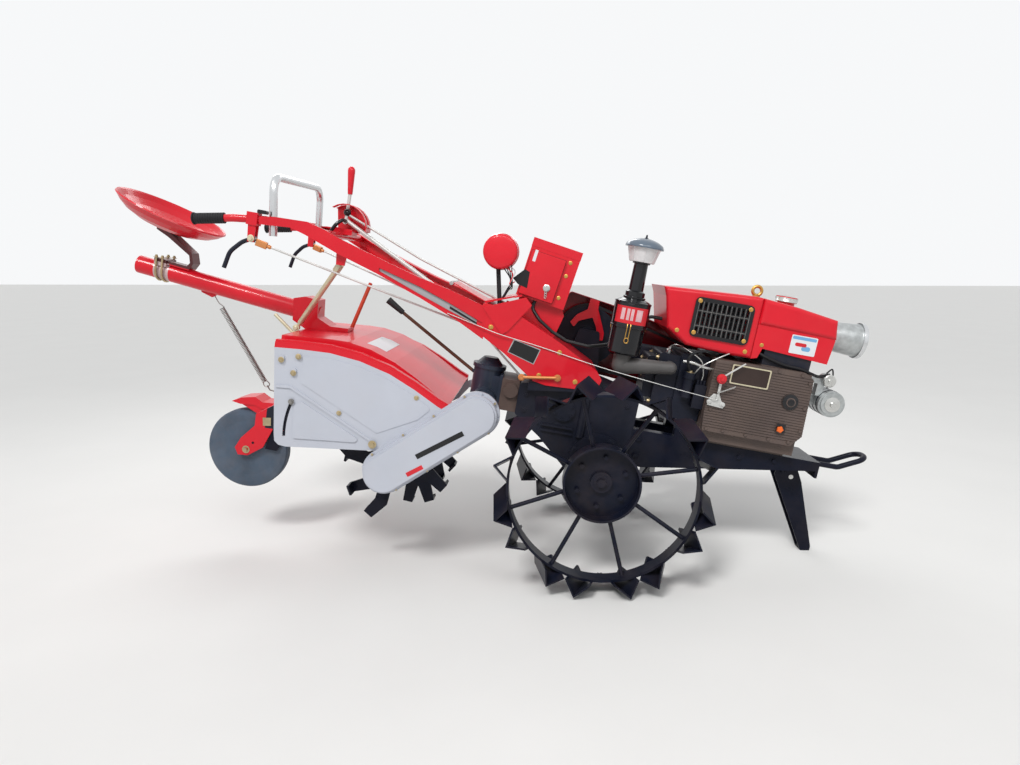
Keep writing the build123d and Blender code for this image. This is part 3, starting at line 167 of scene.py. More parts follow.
def surface(name, colour, rough, metal=0.0, tone=0.12, tone_scale=6.0, grain=0.15, grain_scale=90.0,
            coat=0.0, dust=0.0, specular=0.35, zones=()):
    """Painted, cast or moulded surface: mottled tone, fine grain, and dust in broad patches.

    A zone (machine direction, limit in mm, colour, roughness, metal) takes over beyond its limit.
    """
    material = bpy.data.materials.new(name)
    material.use_nodes = True
    tree = material.node_tree
    place = tree.nodes.new("ShaderNodeTexCoord").outputs["Object"]
    broad = node_in(tree, "TexNoise", {"Vector": place, "Scale": tone_scale, "Detail": 6.0, "Roughness": 0.6})
    fine = node_in(tree, "TexNoise", {"Vector": place, "Scale": grain_scale, "Detail": 4.0})
    bump = node_in(tree, "Bump", {"Strength": grain, "Distance": 0.0006, "Height": fine.outputs["Fac"]})
    mottle = broad.outputs["Fac"]
    colour_out = toned(tree, mottle, colour, tone)
    rough_out = roughened(tree, mottle, rough)
    metal_out = metal
    for direction, limit, zone_colour, zone_rough, zone_metal in zones:
        beyond = past_limit(tree, place, direction, limit)
        colour_out = picked(tree, beyond, colour_out, toned(tree, mottle, zone_colour, tone), "RGBA")
        rough_out = picked(tree, beyond, rough_out, roughened(tree, mottle, zone_rough))
        metal_out = picked(tree, beyond, metal_out, zone_metal)
    if dust:
        colour_out, rough_out = dusted(tree, place, colour_out, rough_out, dust)
    shader = tree.nodes["Principled BSDF"]
    shader.inputs["Metallic"].default_value = metal
    feed(tree, shader, {
        "Base Color": colour_out, "Roughness": rough_out, "Metallic": metal_out,
        "Normal": bump.outputs["Normal"], "Specular IOR Level": specular,
        "Coat Weight": coat, "Coat Roughness": 0.06,
    })
    return material


DUST = (0.50, 0.33, 0.20)
ENAMEL_RED = (0.64, 0.009, 0.022)
# Darker copy of the red enamel, used as painted shade
SHADE_PAINTED_RED = (0.24, 0.006, 0.012)
ENAMEL = {"tone": 0.07, "tone_scale": 4, "grain": 0.05, "coat": 0.3, "specular": 0.2}
DARK = {"tone": 0.10, "grain": 0.06, "coat": 0.3, "specular": 0.2}
# Near-black: the own colour of the black parts, and also a painted shade on the crankcase's top under the
# tank
BLACK_AND_SHADE = (0.004, 0.006, 0.016)
ROD_STEEL = (0.60, 0.60, 0.58)
red = surface("red_enamel", ENAMEL_RED, 0.30, grain_scale=160, dust=0.02, **ENAMEL)
# Red enamel darkened as painted shade, for the shadow line round the battery box door
shaded_red = surface("shaded_red_enamel", SHADE_PAINTED_RED, 0.34, **DARK)
white = surface("white_enamel", (0.48, 0.50, 0.56), 0.34, tone=0.03, tone_scale=5, grain=0.05,
                grain_scale=150, coat=0.3, dust=0.04)
black = surface("black_enamel", BLACK_AND_SHADE, 0.28, tone=0.3, grain=0.12, coat=0.05, dust=0.02, specular=0.1)
wheel_black = surface("wheel_black", BLACK_AND_SHADE, 0.32, tone=0.3, grain=0.2, coat=0.06, dust=0.04, specular=0.12)
cast = surface("cast_black", (0.007, 0.009, 0.019), 0.42, tone=0.35, grain=0.6, grain_scale=220, dust=0.02,
               specular=0.2)
grey_cast = surface("cast_grey", (0.085, 0.080, 0.078), 0.5, tone=0.3, grain=0.5, grain_scale=200)
# Crankcase brown; above 518.5 mm, under the tank, it turns near-black as painted shade
brown = surface("engine_brown_shaded_under_tank", (0.092, 0.066, 0.058), 0.45, tone=0.16, grain=0.5, grain_scale=240,
                dust=0.06, zones=[((0, 0, 1), 518.5, BLACK_AND_SHADE, 0.5, 0.0)])
flange_brown = surface("flange_brown", (0.095, 0.062, 0.052), 0.5, tone=0.25, grain=0.6, grain_scale=200)
blue_cast = surface("cast_blue_black", (0.022, 0.030, 0.050), 0.38, tone=0.3, grain=0.5, coat=0.15,
                    specular=0.3,
                    zones=[((-1, 0, 0), 572, (0.13, 0.055, 0.03), 0.6, 0.2),
                           ((-1, 0, 0), 893, (0.014, 0.014, 0.015), 0.7, 0.0)])
lever_steel = surface("black_lever_steel_rod", BLACK_AND_SHADE, 0.4, tone=0.2, grain=0.1, specular=0.3,
                      zones=[((1, 0, 0), -1412, ROD_STEEL, 0.38, 0.4)])
rod_steel = surface("rod_steel", ROD_STEEL, 0.38, metal=0.4, tone=0.1, grain=0.1)
arm_paint = surface("red_fork_black_arm", ENAMEL_RED, 0.30, **ENAMEL,
                    zones=[((1, 0, 0), -1290, BLACK_AND_SHADE, 0.4, 0.0)])
beam_paint = surface("red_beam_steel_spring", ENAMEL_RED, 0.30, **ENAMEL,
                     zones=[((-1, 0, 0), 1886, (0.55, 0.42, 0.42), 0.4, 0.3),
                            ((-1, 0, 0), 1950, ENAMEL_RED, 0.30, 0.0),
                            ((0.0986, 0, 0.9951), 292, (0.10, 0.028, 0.03), 0.38, 0.4),
                            ((1, 0, 0), -1700, ENAMEL_RED, 0.30, 0.0)])
# Belt guard: plain red enamel, but beyond 200 mm to the left the darker red as painted shade
guard_paint_and_shade = surface("guard_red_and_painted_shade", SHADE_PAINTED_RED, 0.34, **DARK,
                      zones=[((0, -1, 0), -200, ENAMEL_RED, 0.30, 0.0)])
galvanised = surface("galvanised", (0.44, 0.46, 0.46), 0.34, metal=0.75, tone=0.2, tone_scale=40, grain=0.1)
steel = surface("bright_steel", (0.58, 0.58, 0.56), 0.26, metal=0.9, tone=0.1, grain=0.1)
spring_steel = surface("spring_steel", (0.24, 0.23, 0.22), 0.42, metal=0.6, tone=0.3, tone_scale=30,
                       grain=0.1)
zinc = surface("zinc_yellow", (0.46, 0.37, 0.22), 0.32, metal=0.7, tone=0.2, tone_scale=30, grain=0.1)
pale_zinc = surface("zinc_pale", (0.60, 0.54, 0.38), 0.36, metal=0.4, tone=0.15, tone_scale=30, grain=0.1)
brass = surface("brass", (0.58, 0.34, 0.09), 0.32, metal=0.85, tone=0.15, grain=0.1)
amber = surface("amber_passivate", (0.62, 0.25, 0.09), 0.36, metal=0.5, tone=0.15, grain=0.1)
chrome = surface("chrome", (0.66, 0.67, 0.68), 0.24, metal=1.0, tone=0.04, grain=0.02)
rubber = surface("rubber", (0.012, 0.012, 0.014), 0.6, tone=0.2, grain=0.6, grain_scale=300, specular=0.25)
gloss_black = surface("gloss_black", (0.007, 0.007, 0.009), 0.14, tone=0.2, grain=0.03, coat=0.35,
                      specular=0.25)
tyre_grey = surface("grey_tyre", (0.065, 0.092, 0.13), 0.55, tone=0.25, tone_scale=7, grain=0.3, dust=0.08,
                    specular=0.3)
bowl_white = surface("bowl_plastic", (0.68, 0.66, 0.66), 0.24, tone=0.14, tone_scale=25, grain=0.05)
cap_blue = surface("cap_blue_grey", (0.10, 0.13, 0.17), 0.2, tone=0.1, grain=0.05, coat=0.3)
label_white = surface("label_white", (0.70, 0.72, 0.74), 0.4, tone=0.03, grain=0.03)
label_red = surface("label_red", (0.62, 0.02, 0.03), 0.35, tone=0.12, grain=0.03)
label_pink = surface("label_pink", (0.66, 0.40, 0.42), 0.35, tone=0.2, tone_scale=30, grain=0.03)
label_blue = surface("label_blue", (0.16, 0.38, 0.62), 0.4, tone=0.05, grain=0.03)
stripe_grey = surface("stripe_grey", (0.36, 0.37, 0.38), 0.4, tone=0.04, grain=0.03)
plate_black = surface("plate_black", (0.014, 0.014, 0.015), 0.3, tone=0.1, grain=0.05, specular=0.3)
plate_brown = surface("plate_brown", (0.035, 0.020, 0.016), 0.32, tone=0.2, grain=0.05)
orange_red = surface("orange_red_enamel", (0.62, 0.06, 0.02), 0.34, tone=0.15, grain=0.05, coat=0.2)
orange = surface("orange_plastic", (0.78, 0.14, 0.02), 0.35, tone=0.08, grain=0.05)
core_fins = surface("radiator_fins", (0.03, 0.033, 0.036), 0.5, metal=0.3, tone=0.3, grain=0.6)
lens = surface("lamp_lens", (0.62, 0.66, 0.68), 0.08, metal=0.5, tone=0.12, tone_scale=60, grain=0.5,
               grain_scale=80, coat=1.0)

node_looks = {
    "wheel_right": wheel_black, "wheel_left": wheel_black, "gearbox": cast, "engine_frame": black,
    "front_stand": black, "hitch_loop": black, "crankcase": brown, "cylinder_head": cast,
    "radiator_hood": red, "fuel_tank": red, "hood_grille": gloss_black, "headlamp": galvanised,
    "generator": galvanised, "air_cleaner": gloss_black, "intake_elbow": grey_cast, "muffler": cast,
    "flywheel": cast, "clutch_pulley": cast, "drive_belts": rubber, "belt_guard": guard_paint_and_shade,
    "handle_frame": red, "grip_right": rubber, "grip_left": rubber,
    "steering_lever_right": lever_steel, "steering_lever_left": lever_steel, "main_lever": rod_steel,
    "guard_hoop": chrome, "round_lamp": red, "battery_box": red, "battery": plate_black,
    "battery_lid": red, "rear_flange": flange_brown, "tiller_gearbox": blue_cast, "chain_case": white,
    "side_plate_right": white, "side_plate_left": white, "tiller_cover": red, "rear_flap": red,
    "rotor": black, "tail_arm": arm_paint, "tail_wheel": tyre_grey, "seat_beam": beam_paint, "seat_pan": red,
    "tension_spring": zinc, "brace_rod": pale_zinc,
}
for name, node in frame["nodes"].items():
    if node.material_slots:
        for material_slot in node.material_slots:
            material_slot.material = node_looks[name]
    else:
        node.data.materials.append(node_looks[name])


# Piece building, in machine millimetres

class Piece:
    """Collects closed forms into one mesh of one material."""

    def __init__(self, name, material, body="chassis"):
        self.name = name
        self.material = material
        self.body = body
        self.mesh = bmesh.new()

    def add(self, points, faces, place=Matrix.Identity(4)):
        made = [self.mesh.verts.new(place @ Vector(point)) for point in points]
        for face in faces:
            self.mesh.faces.new([made[index] for index in face])

    def skin(self, rings, place=Matrix.Identity(4), closed=False):
        """Faces from each ring of points to the next; both ends are capped, or joined where closed."""
        points = []
        rows = []
        for ring in rings:
            rows.append(list(range(len(points), len(points) + len(ring))))
            points += ring
        faces = []
        for low, high in zip(rows, rows[1:] + rows[:1] if closed else rows[1:]):
            for step in range(max(len(low), len(high))):
                after = step + 1
                corners = (low[step % len(low)], low[after % len(low)],
                           high[after % len(high)], high[step % len(high)])
                faces.append(tuple(dict.fromkeys(corners)))
        if not closed:
            faces += [tuple(row) for row in (rows[0][::-1], rows[-1]) if len(row) > 1]
        self.add(points, faces, place)

    def turned(self, profile, place, sides=24):
        """Lathe form: profile of (radius, height) from bottom to top, on the local Z axis."""
        self.skin([circle(radius, height, sides) for radius, height in profile], place)

    def loop(self, profile, place, sides=32):
        """Lathe form round a hole: the profile is closed."""
        self.skin([circle(radius, height, sides) for radius, height in profile], place, closed=True)

    def prism(self, outline, low, high, place):
        """Flat outline in local XY, carried from low to high on local Z."""
        count = len(outline)
        points = [(x, y, low) for x, y in outline] + [(x, y, high) for x, y in outline]
        faces = [tuple(reversed(range(count))), tuple(range(count, 2 * count))]
        for step in range(count):
            after = (step + 1) % count
            faces.append((step, after, count + after, count + step))
        self.add(points, faces, place)

    def tube(self, points, radius, sides=12, closed=False):
        """Round tube along points, turned smoothly without twist."""
        path = [Vector(point) for point in points]
        count = len(path)
        rings = []
        side = None
        for index, point in enumerate(path):
            before = path[index - 1] if index or closed else point
            after = path[(index + 1) % count] if index < count - 1 or closed else point
            along = (after - before).normalized()
            if side is None:
                side = along.orthogonal().normalized()
            side = (side - along * side.dot(along)).normalized()
            up = along.cross(side)
            rings.append([point + (side * cos(2 * pi * k / sides) + up * sin(2 * pi * k / sides)) * radius
                          for k in range(sides)])
        self.skin(rings, closed=closed)

    def bolt(self, at, axis, size, height, washer=True):
        """Hexagon head on a washer, facing along the axis."""
        place = facing(at, axis)
        if washer:
            self.turned([(size * 1.75, 0), (size * 1.75, 1.2), (size * 1.6, 1.6), (0, 1.6)], place, 20)
        head = [(size * 1.12 * cos(pi * k / 3), size * 1.12 * sin(pi * k / 3)) for k in range(6)]
        self.prism(head, 1.0, height * 0.82, place)
        crown = [(x * 0.88, y * 0.88) for x, y in head]
        self.prism(crown, height * 0.8, height, place)

    def bolts(self, side, y, places, size, height, washer=True):
        """Bolts that face out of one side (-1 is the right) at places (x, z)."""
        for x, z in places:
            self.bolt((x, side * y, z), (0, side, 0), size, height, washer)

    def finish(self, bevel=0.0, smooth=True):
        bmesh.ops.recalc_face_normals(self.mesh, faces=self.mesh.faces)
        data = bpy.data.meshes.new(self.name)
        self.mesh.to_mesh(data)
        self.mesh.free()
        data.transform(MACHINE)
        if smooth:
            data.polygons.foreach_set("use_smooth", [True] * len(data.polygons))
            data.set_sharp_from_angle(angle=radians(38))
        piece = bpy.data.objects.new(self.name, data)
        bpy.context.scene.collection.objects.link(piece)
        data.materials.append(self.material)
        if bevel:
            edge = piece.modifiers.new("edges", "BEVEL")
            edge.width = bevel / 1000
            edge.segments = 2
            edge.limit_method = "ANGLE"
        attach(piece, self.body)
        return piece


# Places and outlines

def facing(at, axis):
    """Local Z along the axis, with its origin at the place."""
    turn = Vector(axis).to_track_quat("Z", "Y").to_matrix().to_4x4()
    return Matrix.Translation(at) @ turn


def side_face(side, x, z, y):
    """Local X forward, local Y up, local Z out of that side of the machine (-1 is the right)."""
    return Matrix(((1, 0, 0, x), (0, 0, side, y), (0, 1, 0, z), (0, 0, 0, 1)))


def right_face(x, z, y):
    return side_face(-1, x, z, y)


def circle_places(count, radius, start=0.0):
    """Places (x, z) evenly round a circle, from the top on by the start angle."""
    angles = [radians(start + index * 360 / count) for index in range(count)]
    return [(radius * sin(angle), radius * cos(angle)) for angle in angles]


def circle(radius, height, sides):
    """Points round the local Z axis at one height; a single point where the radius is nil."""
    if radius < 1e-6:
        return [(0, 0, height)]
    angles = [2 * pi * step / sides for step in range(sides)]
    return [(radius * cos(angle), radius * sin(angle), height) for angle in angles]


def rectangle(half_x, half_y):
    return [(-half_x, -half_y), (half_x, -half_y), (half_x, half_y), (-half_x, half_y)]


def rounded(width, height, radius, steps=5):
    """Rounded rectangle about the origin."""
    out = []
    for cx, cy, start in ((1, 1, 0), (-1, 1, 90), (-1, -1, 180), (1, -1, 270)):
        for step in range(steps + 1):
            angle = radians(start + 90 * step / steps)
            out.append((cx * (width / 2 - radius) + radius * cos(angle),
                        cy * (height / 2 - radius) + radius * sin(angle)))
    return out


def smooth_path(points, steps=8):
    """Curve through the points."""
    path = [Vector(point) for point in points]
    padded = [path[0] * 2 - path[1]] + path + [path[-1] * 2 - path[-2]]
    out = []
    for index in range(1, len(padded) - 2):
        a, b, c, d = padded[index - 1:index + 3]
        for step in range(steps):
            t = step / steps
            out.append(0.5 * ((2 * b) + (c - a) * t + (2 * a - 5 * b + 4 * c - d) * t * t
                              + (3 * b - a - 3 * c + d) * t ** 3))
    out.append(path[-1])
    return out


def splay_y(x):
    """Outer face of a handle channel, out from the middle."""
    return HANDLE_SIDE + (HANDLE_START - x) * tan(radians(HANDLE_SPLAY))


def plate_piece(name, material, outline, low, high, place, bevel=0.0):
    """One plate, label or bar as a piece of its own."""
    piece = Piece(name, material)
    piece.prism(outline, low, high, place)
    piece.finish(bevel)


def tube_piece(name, material, route, radius, sides=12):
    """One rod, pipe or wire as a piece of its own."""
    piece = Piece(name, material)
    piece.tube(route, radius, sides)
    piece.finish()


# Wheels: hub nuts and axle nuts

def wheel_hardware(side, body, name):
    nuts = Piece(name + "_hub_nuts", wheel_black, body)
    nuts.bolts(side, HUB_FACE + 20, circle_places(6, HUB_BOLT_RADIUS), 9, 7, washer=False)
    nuts.bolts(side, HUB_FACE + 26, [(0, 0)], 17, 14)
    nuts.finish()


wheel_hardware(-1, "wheel_right_body", "wheel_right")
wheel_hardware(1, "wheel_left_body", "wheel_left")


# Radiator hood: core behind the slots, painted highlights on the grille's webs, bolts

def radiator_core(side, name):
    core = Piece(name, core_fins)
    face = side * (HOOD_SIDE - 25)
    for index in range(34):
        x = 258 + index * 5.8
        core.prism(rectangle(1.2, 65), 0, 10, side_face(side, x, GRILLE_CENTRE[1], face))
    for index in range(5):
        core.prism(rectangle(98, 3), 0, 14, side_face(side, GRILLE_CENTRE[0], 600 + index * 28, face))
    core.finish(smooth=False)


def grille_edge_highlights(side, name):
    """Painted highlights on the edges of the grille's webs, upright between the slots and along its rows."""
    bars = Piece(name, spring_steel)
    face = side * (HOOD_SIDE + 7.4)
    for index in range(12):
        x = 256.5 + index * 18
        bars.tube([(x, face, 594), (x, face, 717)], 0.9, 6)
    for z in (623, 681):
        bars.tube([(256, face, z), (455, face, z)], 0.9, 6)
    bars.finish()


radiator_core(-1, "radiator_core_right")
radiator_core(1, "radiator_core_left")
grille_edge_highlights(-1, "grille_edge_highlights_right")
grille_edge_highlights(1, "grille_edge_highlights_left")

hood_bolts = Piece("hood_bolts", brass)
hood_bolts.bolts(-1, HOOD_SIDE + 7, [(259, 595), (259, 718), (454, 595), (454, 718)], 4.8, 5)
hood_bolts.bolts(-1, HOOD_SIDE, [(196, 592), (470, 556)], 4.8, 5)
hood_bolts.bolts(-1, TANK_SIDE, [(530, 592)], 4.4, 5)
hood_bolts.finish()


# Tank: cap, lifting eye, blank label

cap = Piece("tank_cap", steel)
cap.turned([(38, 769), (43.2, 771), (43.2, 775), (42.6, 776), (42.6, 786), (41, 792), (36, 795),
            (30, 796.5), (0, 797)], Matrix.Translation((TANK_CAP_X, 0, 0)), 40)
for index in range(16):
    angle = 2 * pi * index / 16
    x = TANK_CAP_X + 42.4 * cos(angle)
    y = 42.4 * sin(angle)
    cap.tube([(x, y, 777), (x, y, 789)], 1.6, 6)
cap.finish()
eye = Piece("lifting_eye", brass)
eye.tube([(EYE_CENTRE[0] + 18 * cos(2 * pi * k / 32), 0, EYE_CENTRE[1] + 18 * sin(2 * pi * k / 32))
          for k in range(32)], 6.6, 14, closed=True)
eye.turned([(15, 768), (15, 774), (10, 777), (9.6, 781), (0, 781)],
           Matrix.Translation((EYE_CENTRE[0], 0, 0)), 24)
eye.finish()
plate_piece("tank_label", label_white, rounded(100, 72, 4), 0, 0.6, right_face(686, 618, -TANK_SIDE))
band = Piece("tank_label_band", label_blue)
band.prism(rounded(92, 12, 4), 0.5, 0.9, right_face(686, 644, -TANK_SIDE))
band.prism(rounded(34, 18, 8), 0.5, 0.9, right_face(698, 606, -TANK_SIDE))
band.finish()
plate_piece("tank_label_mark", label_red, rounded(44, 14, 6), 0.5, 1.1, right_face(676, 619, -TANK_SIDE))


# Headlamp: lens in its rim

def headlamp():
    y, z = HEADLAMP_AXIS
    place = Matrix.Translation((0, y, z)) @ Matrix.Rotation(radians(90), 4, "Y")
    rim = Piece("headlamp_rim", chrome)
    rim.loop([(71.5, 940), (72.4, 946), (72.4, 955.4), (70.5, 957), (63, 955.5), (62, 951), (66, 949),
              (70.6, 944)], place, 48)
    rim.finish()
    glass = Piece("headlamp_glass", lens)
    glass.turned([(62.5, 950), (60, 952.5), (40, 954.6), (20, 955.6), (0, 956)], place, 48)
    for index in range(7):
        offset = (index - 3) * 15.0
        reach = (56 ** 2 - offset ** 2) ** 0.5
        glass.tube([(954.4, y + offset, z - reach), (956.0, y + offset, z), (954.4, y + offset, z + reach)],
                   1.6, 6)
    glass.finish()


headlamp()


# Crankcase cover: plate, filler, drain cap, governor, bolts

def engine_plate():
    """Bare plate in a narrow rim."""
    place = right_face(506, 466, -COVER_SIDE - 2)
    plate_piece("engine_plate", plate_brown, rounded(142, 68, 4), 0, 1.2, place)
    rim = Piece("engine_plate_rim", pale_zinc)
    outer = rounded(150, 76, 6)
    inner = rounded(140, 66, 4)
    for index in range(len(outer)):
        after = (index + 1) % len(outer)
        rim.prism([outer[index], outer[after], inner[after], inner[index]], 0.2, 2.4, place)
    rim.finish()


def filler_and_drain():
    x, z = FILLER_AXIS
    across = (Matrix.Translation((x, 0, z)) @ Matrix.Rotation(radians(90), 4, "X")
              @ Matrix.Scale(-1, 4, (0, 0, 1)))
    filler = Piece("filler_ring", gloss_black)
    filler.loop([(12, -COVER_SIDE - 12), (30, -COVER_SIDE - 6), (32, -COVER_SIDE - 2), (33, -COVER_SIDE),
                 (33, -COVER_SIDE + 6), (12, -COVER_SIDE + 6)], across, 40)
    filler.turned([(13, 0), (13, 3), (9, 3.6), (0, 3.6)], facing((x, -COVER_SIDE - 11.5, z), (0, -1, 0)), 24)
    filler.prism(rounded(34, 36, 3), 0, 1.2, right_face(665, 290, -COVER_SIDE - 8))
    filler.finish()
    drain = Piece("drain_cap", orange)
    drain.turned([(13, 0), (14, 7), (11, 10), (0, 10)], facing((661, -COVER_SIDE - 9, 286), (0, -1, 0)), 5)
    drain.finish()


def governor():
    """Red knob, bracket with its two arms, and a coil spring beside them."""
    x, z = GOVERNOR_PIVOT
    knob = Piece("governor_knob", label_red)
    knob.turned([(17, 0), (19, 3), (19, 12), (15, 17), (7, 18), (7, 24), (0, 25)],
                facing((394, -COVER_SIDE - 18, 441), (0, -1, 0)), 28)
    knob.finish()
    bracket = Piece("governor_bracket", rod_steel)
    bracket.prism([(-32, -22), (30, -26), (36, -14), (18, 4), (8, 24), (-14, 26), (-30, 6)], 0, 4,
                  right_face(x, z, -COVER_SIDE - 4))
    bracket.prism([(-4, 0), (4, 0), (6, 90), (-6, 90)], 5, 8, right_face(x, z + 4, -COVER_SIDE - 6))
    bracket.prism([(-2, -4), (76, 66), (72, 70), (-6, 1)], 5, 8, right_face(x, z + 94, -COVER_SIDE - 14))
    bracket.bolts(-1, COVER_SIDE + 8, [(x - 26, z - 8), (x + 26, z - 12)], 6, 5)
    bracket.finish(bevel=0.6)
    steps = 120
    turns = 14
    points = []
    for step in range(steps):
        share = step / (steps - 1)
        turn = share * turns * 2 * pi
        points.append((x - 4 + 60 * share + 4.5 * cos(turn) * 0.5, -COVER_SIDE - 14 + 4.5 * sin(turn),
                       z + 32 + 34 * share + 4.5 * cos(turn)))
    tube_piece("governor_spring", steel, points, 1.1, 6)


engine_plate()
filler_and_drain()
governor()
case_bolts = Piece("case_bolts", brown)
case_bolts.bolts(-1, COVER_SIDE, [(384, 314), (384, 236), (450, 238), (540, 238), (630, 238), (708, 240),
                                  (742, 290), (738, 380), (734, 480), (700, 506), (610, 506)],
                 6, 5, washer=False)
case_bolts.finish()


# Cylinder head: nuts, injector pipe, fuel hoses

head_nuts = Piece("head_nuts", zinc)
for y, z in ((-60, 440), (0, 384), (60, 440)):
    head_nuts.bolt((126, y, z), (-1, 0, 0), 8, 8)
for y in (-86, 86):
    for z in (286, 468):
        head_nuts.bolt((165, y, z), (-1, 0, 0), 6.5, 10)
head_nuts.bolt((288, -145, 436), (0, 0, 1), 8, 8)
head_nuts.finish()
pipes = Piece("injector_pipe", steel)
pipes.tube(smooth_path([(341, -136, 410), (341, -138, 440), (322, -140, 488), (262, -132, 520),
                        (226, -90, 530), (212, -40, 512), (212, -38, 488)]), 3.2, 10)
pipes.turned([(12, 486), (12, 500), (8, 504), (8, 514), (0, 515)], Matrix.Translation((212, -38, 0)), 16)
pipes.tube(smooth_path([(300, -150, 428), (320, -170, 470), (372, -176, 512), (420, -160, 540)]), 3.0, 10)
pipes.finish()
tube_piece("fuel_delivery_pipe", steel,
           smooth_path([(250, -150, 476), (288, -152, 476), (330, -152, 467), (376, -150, 464)]), 6.5)
hoses = Piece("fuel_hoses", rubber)
hoses.tube(smooth_path([(286, -146, 440), (268, -156, 480), (290, -160, 520), (360, -150, 534),
                        (430, -130, 540)]), 6, 12)
hoses.tube(smooth_path([(524, -146, 562), (560, -158, 548), (632, -159, 531), (700, -159, 526),
                        (752, -154, 514), (790, -124, 508), (838, -98, 520)]), 6.0, 12)
hoses.tube(smooth_path([(838, -72, 522), (862, -60, 540), (880, -40, 500), (872, -30, 462)]), 3.0, 10)
hoses.finish()


# Generator and regulator: end faces and bands

def generator_trim():
    x, z = GENERATOR_AXIS
    faces = Piece("regulator_face", steel)
    faces.turned([(25.4, 0), (25.4, 6), (22, 9), (8, 9.5), (7, 13), (0, 13.5)],
                 facing((REGULATOR_AXIS[0], -112, REGULATOR_AXIS[1]), (0, -1, 0)), 32)
    faces.turned([(30, 0), (30, 3), (12, 6), (11, 14), (0, 14.5)], facing((x, -128, z), (0, -1, 0)), 32)
    faces.finish()
    bands = Piece("generator_bands", black)
    for y in (-98, -60, -20):
        bands.loop([(52.2, y - 4), (53.4, y - 3), (53.4, y + 3), (52.2, y + 4)],
                   Matrix.Translation((x, 0, z)) @ Matrix.Rotation(radians(-90), 4, "X"), 40)
    bands.finish()


generator_trim()


# Air cleaner: label, clips, bowl, cap

cleaner_axis = Matrix.Translation((CLEANER[0], CLEANER[1], 0))


def wrap(name, material, radius, low, high, start, stop, steps=10):
    """Thin label bent round the cleaner between two angles."""
    piece = Piece(name, material)
    points = []
    for layer in (radius, radius + 0.7):
        for z in (low, high):
            for step in range(steps + 1):
                angle = radians(start + (stop - start) * step / steps)
                points.append((layer * cos(angle), layer * sin(angle), z))
    row = steps + 1
    faces = []
    for step in range(steps):
        faces.append((2 * row + step, 2 * row + step + 1, 3 * row + step + 1, 3 * row + step))
        faces.append((step + 1, step, row + step, row + step + 1))
        faces.append((step, step + 1, 2 * row + step + 1, 2 * row + step))
        faces.append((row + step + 1, row + step, 3 * row + step, 3 * row + step + 1))
    faces.append((0, 2 * row, 3 * row, row))
    faces.append((steps, row + steps, 3 * row + steps, 2 * row + steps))
    piece.add(points, faces, cleaner_axis)
    piece.finish()


def cleaner_clips():
    """Three wire clips, each with a ring at its foot."""
    clips = Piece("cleaner_clips", brass)
    foot = Vector((*CLEANER, 0))
    for degrees in (-96, 24, 144):
        angle = radians(degrees)
        out = Vector((cos(angle), sin(angle), 0))
        side = Vector((-sin(angle), cos(angle), 0))
        for shift in (-6, 6):
            route = [foot + out * reach + side * shift + Vector((0, 0, z))
                     for reach, z in ((72, 584), (76, 570), (71, 551), (67, 524))]
            clips.tube(smooth_path(route, 5), 1.8, 8)
        centre = foot + out * 68 + Vector((0, 0, 520))
        clips.tube([centre + side * 8 * cos(2 * pi * k / 12) + Vector((0, 0, 10 * sin(2 * pi * k / 12)))
                    for k in range(12)], 1.8, 8, closed=True)
    clips.finish()


wrap("cleaner_label", label_red, 70.2, 585, 650, -150, -36, 20)
for index, (start, stop) in enumerate(((-128, -116), (-110, -101), (-97, -88), (-80, -60))):
    wrap("cleaner_label_field_%d" % index, label_pink, 71.0, 598, 642, start, stop, 4)
cleaner_clips()
bands = Piece("cleaner_bands", gloss_black)
bands.loop([(65, 566), (72, 568), (72, 574), (69, 576), (65, 576)], cleaner_axis, 48)
bands.loop([(64, 661), (71.6, 662), (71.4, 668), (64, 671)], cleaner_axis, 48)
bands.loop([(37, 680), (43.6, 682), (43.6, 687), (37, 690)], cleaner_axis, 40)
bands.loop([(26, 813), (34, 815), (34, 821), (26, 824)], cleaner_axis, 40)
bands.finish()
bowl = Piece("dust_bowl", bowl_white)
bowl.loop([(46, 820.5), (48, 821.4), (62.2, 876.6), (60.8, 877), (47.2, 825)], cleaner_axis, 48)
for index in range(8):
    angle = 2 * pi * index / 8
    bowl.tube([(CLEANER[0] + reach * cos(angle), CLEANER[1] + reach * sin(angle), z)
               for reach, z in ((47.4, 823), (54.4, 848), (61.8, 876))], 2.0, 8)
bowl.finish()
dust_cap = Piece("dust_cap", cap_blue)
dust_cap.turned([(62.4, 875), (73.4, 875), (74, 878), (73.4, 881), (69, 890.5), (54, 900), (39.4, 906),
                 (19, 911), (0, 912)], cleaner_axis, 48)
dust_cap.finish()
stud = Piece("dust_cap_stud", cast)
stud.turned([(9, 910), (9, 913), (4, 915), (3, 925), (0, 926)], cleaner_axis, 16)
stud.finish()


# Handles: stripe, blank plate, bolts

def arm_place(x, z, lift):
    """Local X forward along the right-hand channel, local Y up, local Z outward."""
    turn = radians(HANDLE_SPLAY)
    forward = Vector((cos(turn), sin(turn), 0))
    outward = Vector((sin(turn), -cos(turn), 0))
    at = Vector((x, -splay_y(x), z)) + outward * lift
    return Matrix(((forward.x, 0, outward.x, at.x), (forward.y, 0, outward.y, at.y), (0, 1, 0, at.z),
                   (0, 0, 0, 1)))


def arm_strip(name, material, upper, lower, lift):
    """Thin strip along the channel, between two edge lines that start at its rear end."""
    stretch = 1 / cos(radians(HANDLE_SPLAY))
    rear_x = upper[0][0]
    outline = [((x - rear_x) * stretch, z) for x, z in upper + lower[::-1]]
    plate_piece(name, material, outline, 0, 0.5, arm_place(rear_x, 0, lift))


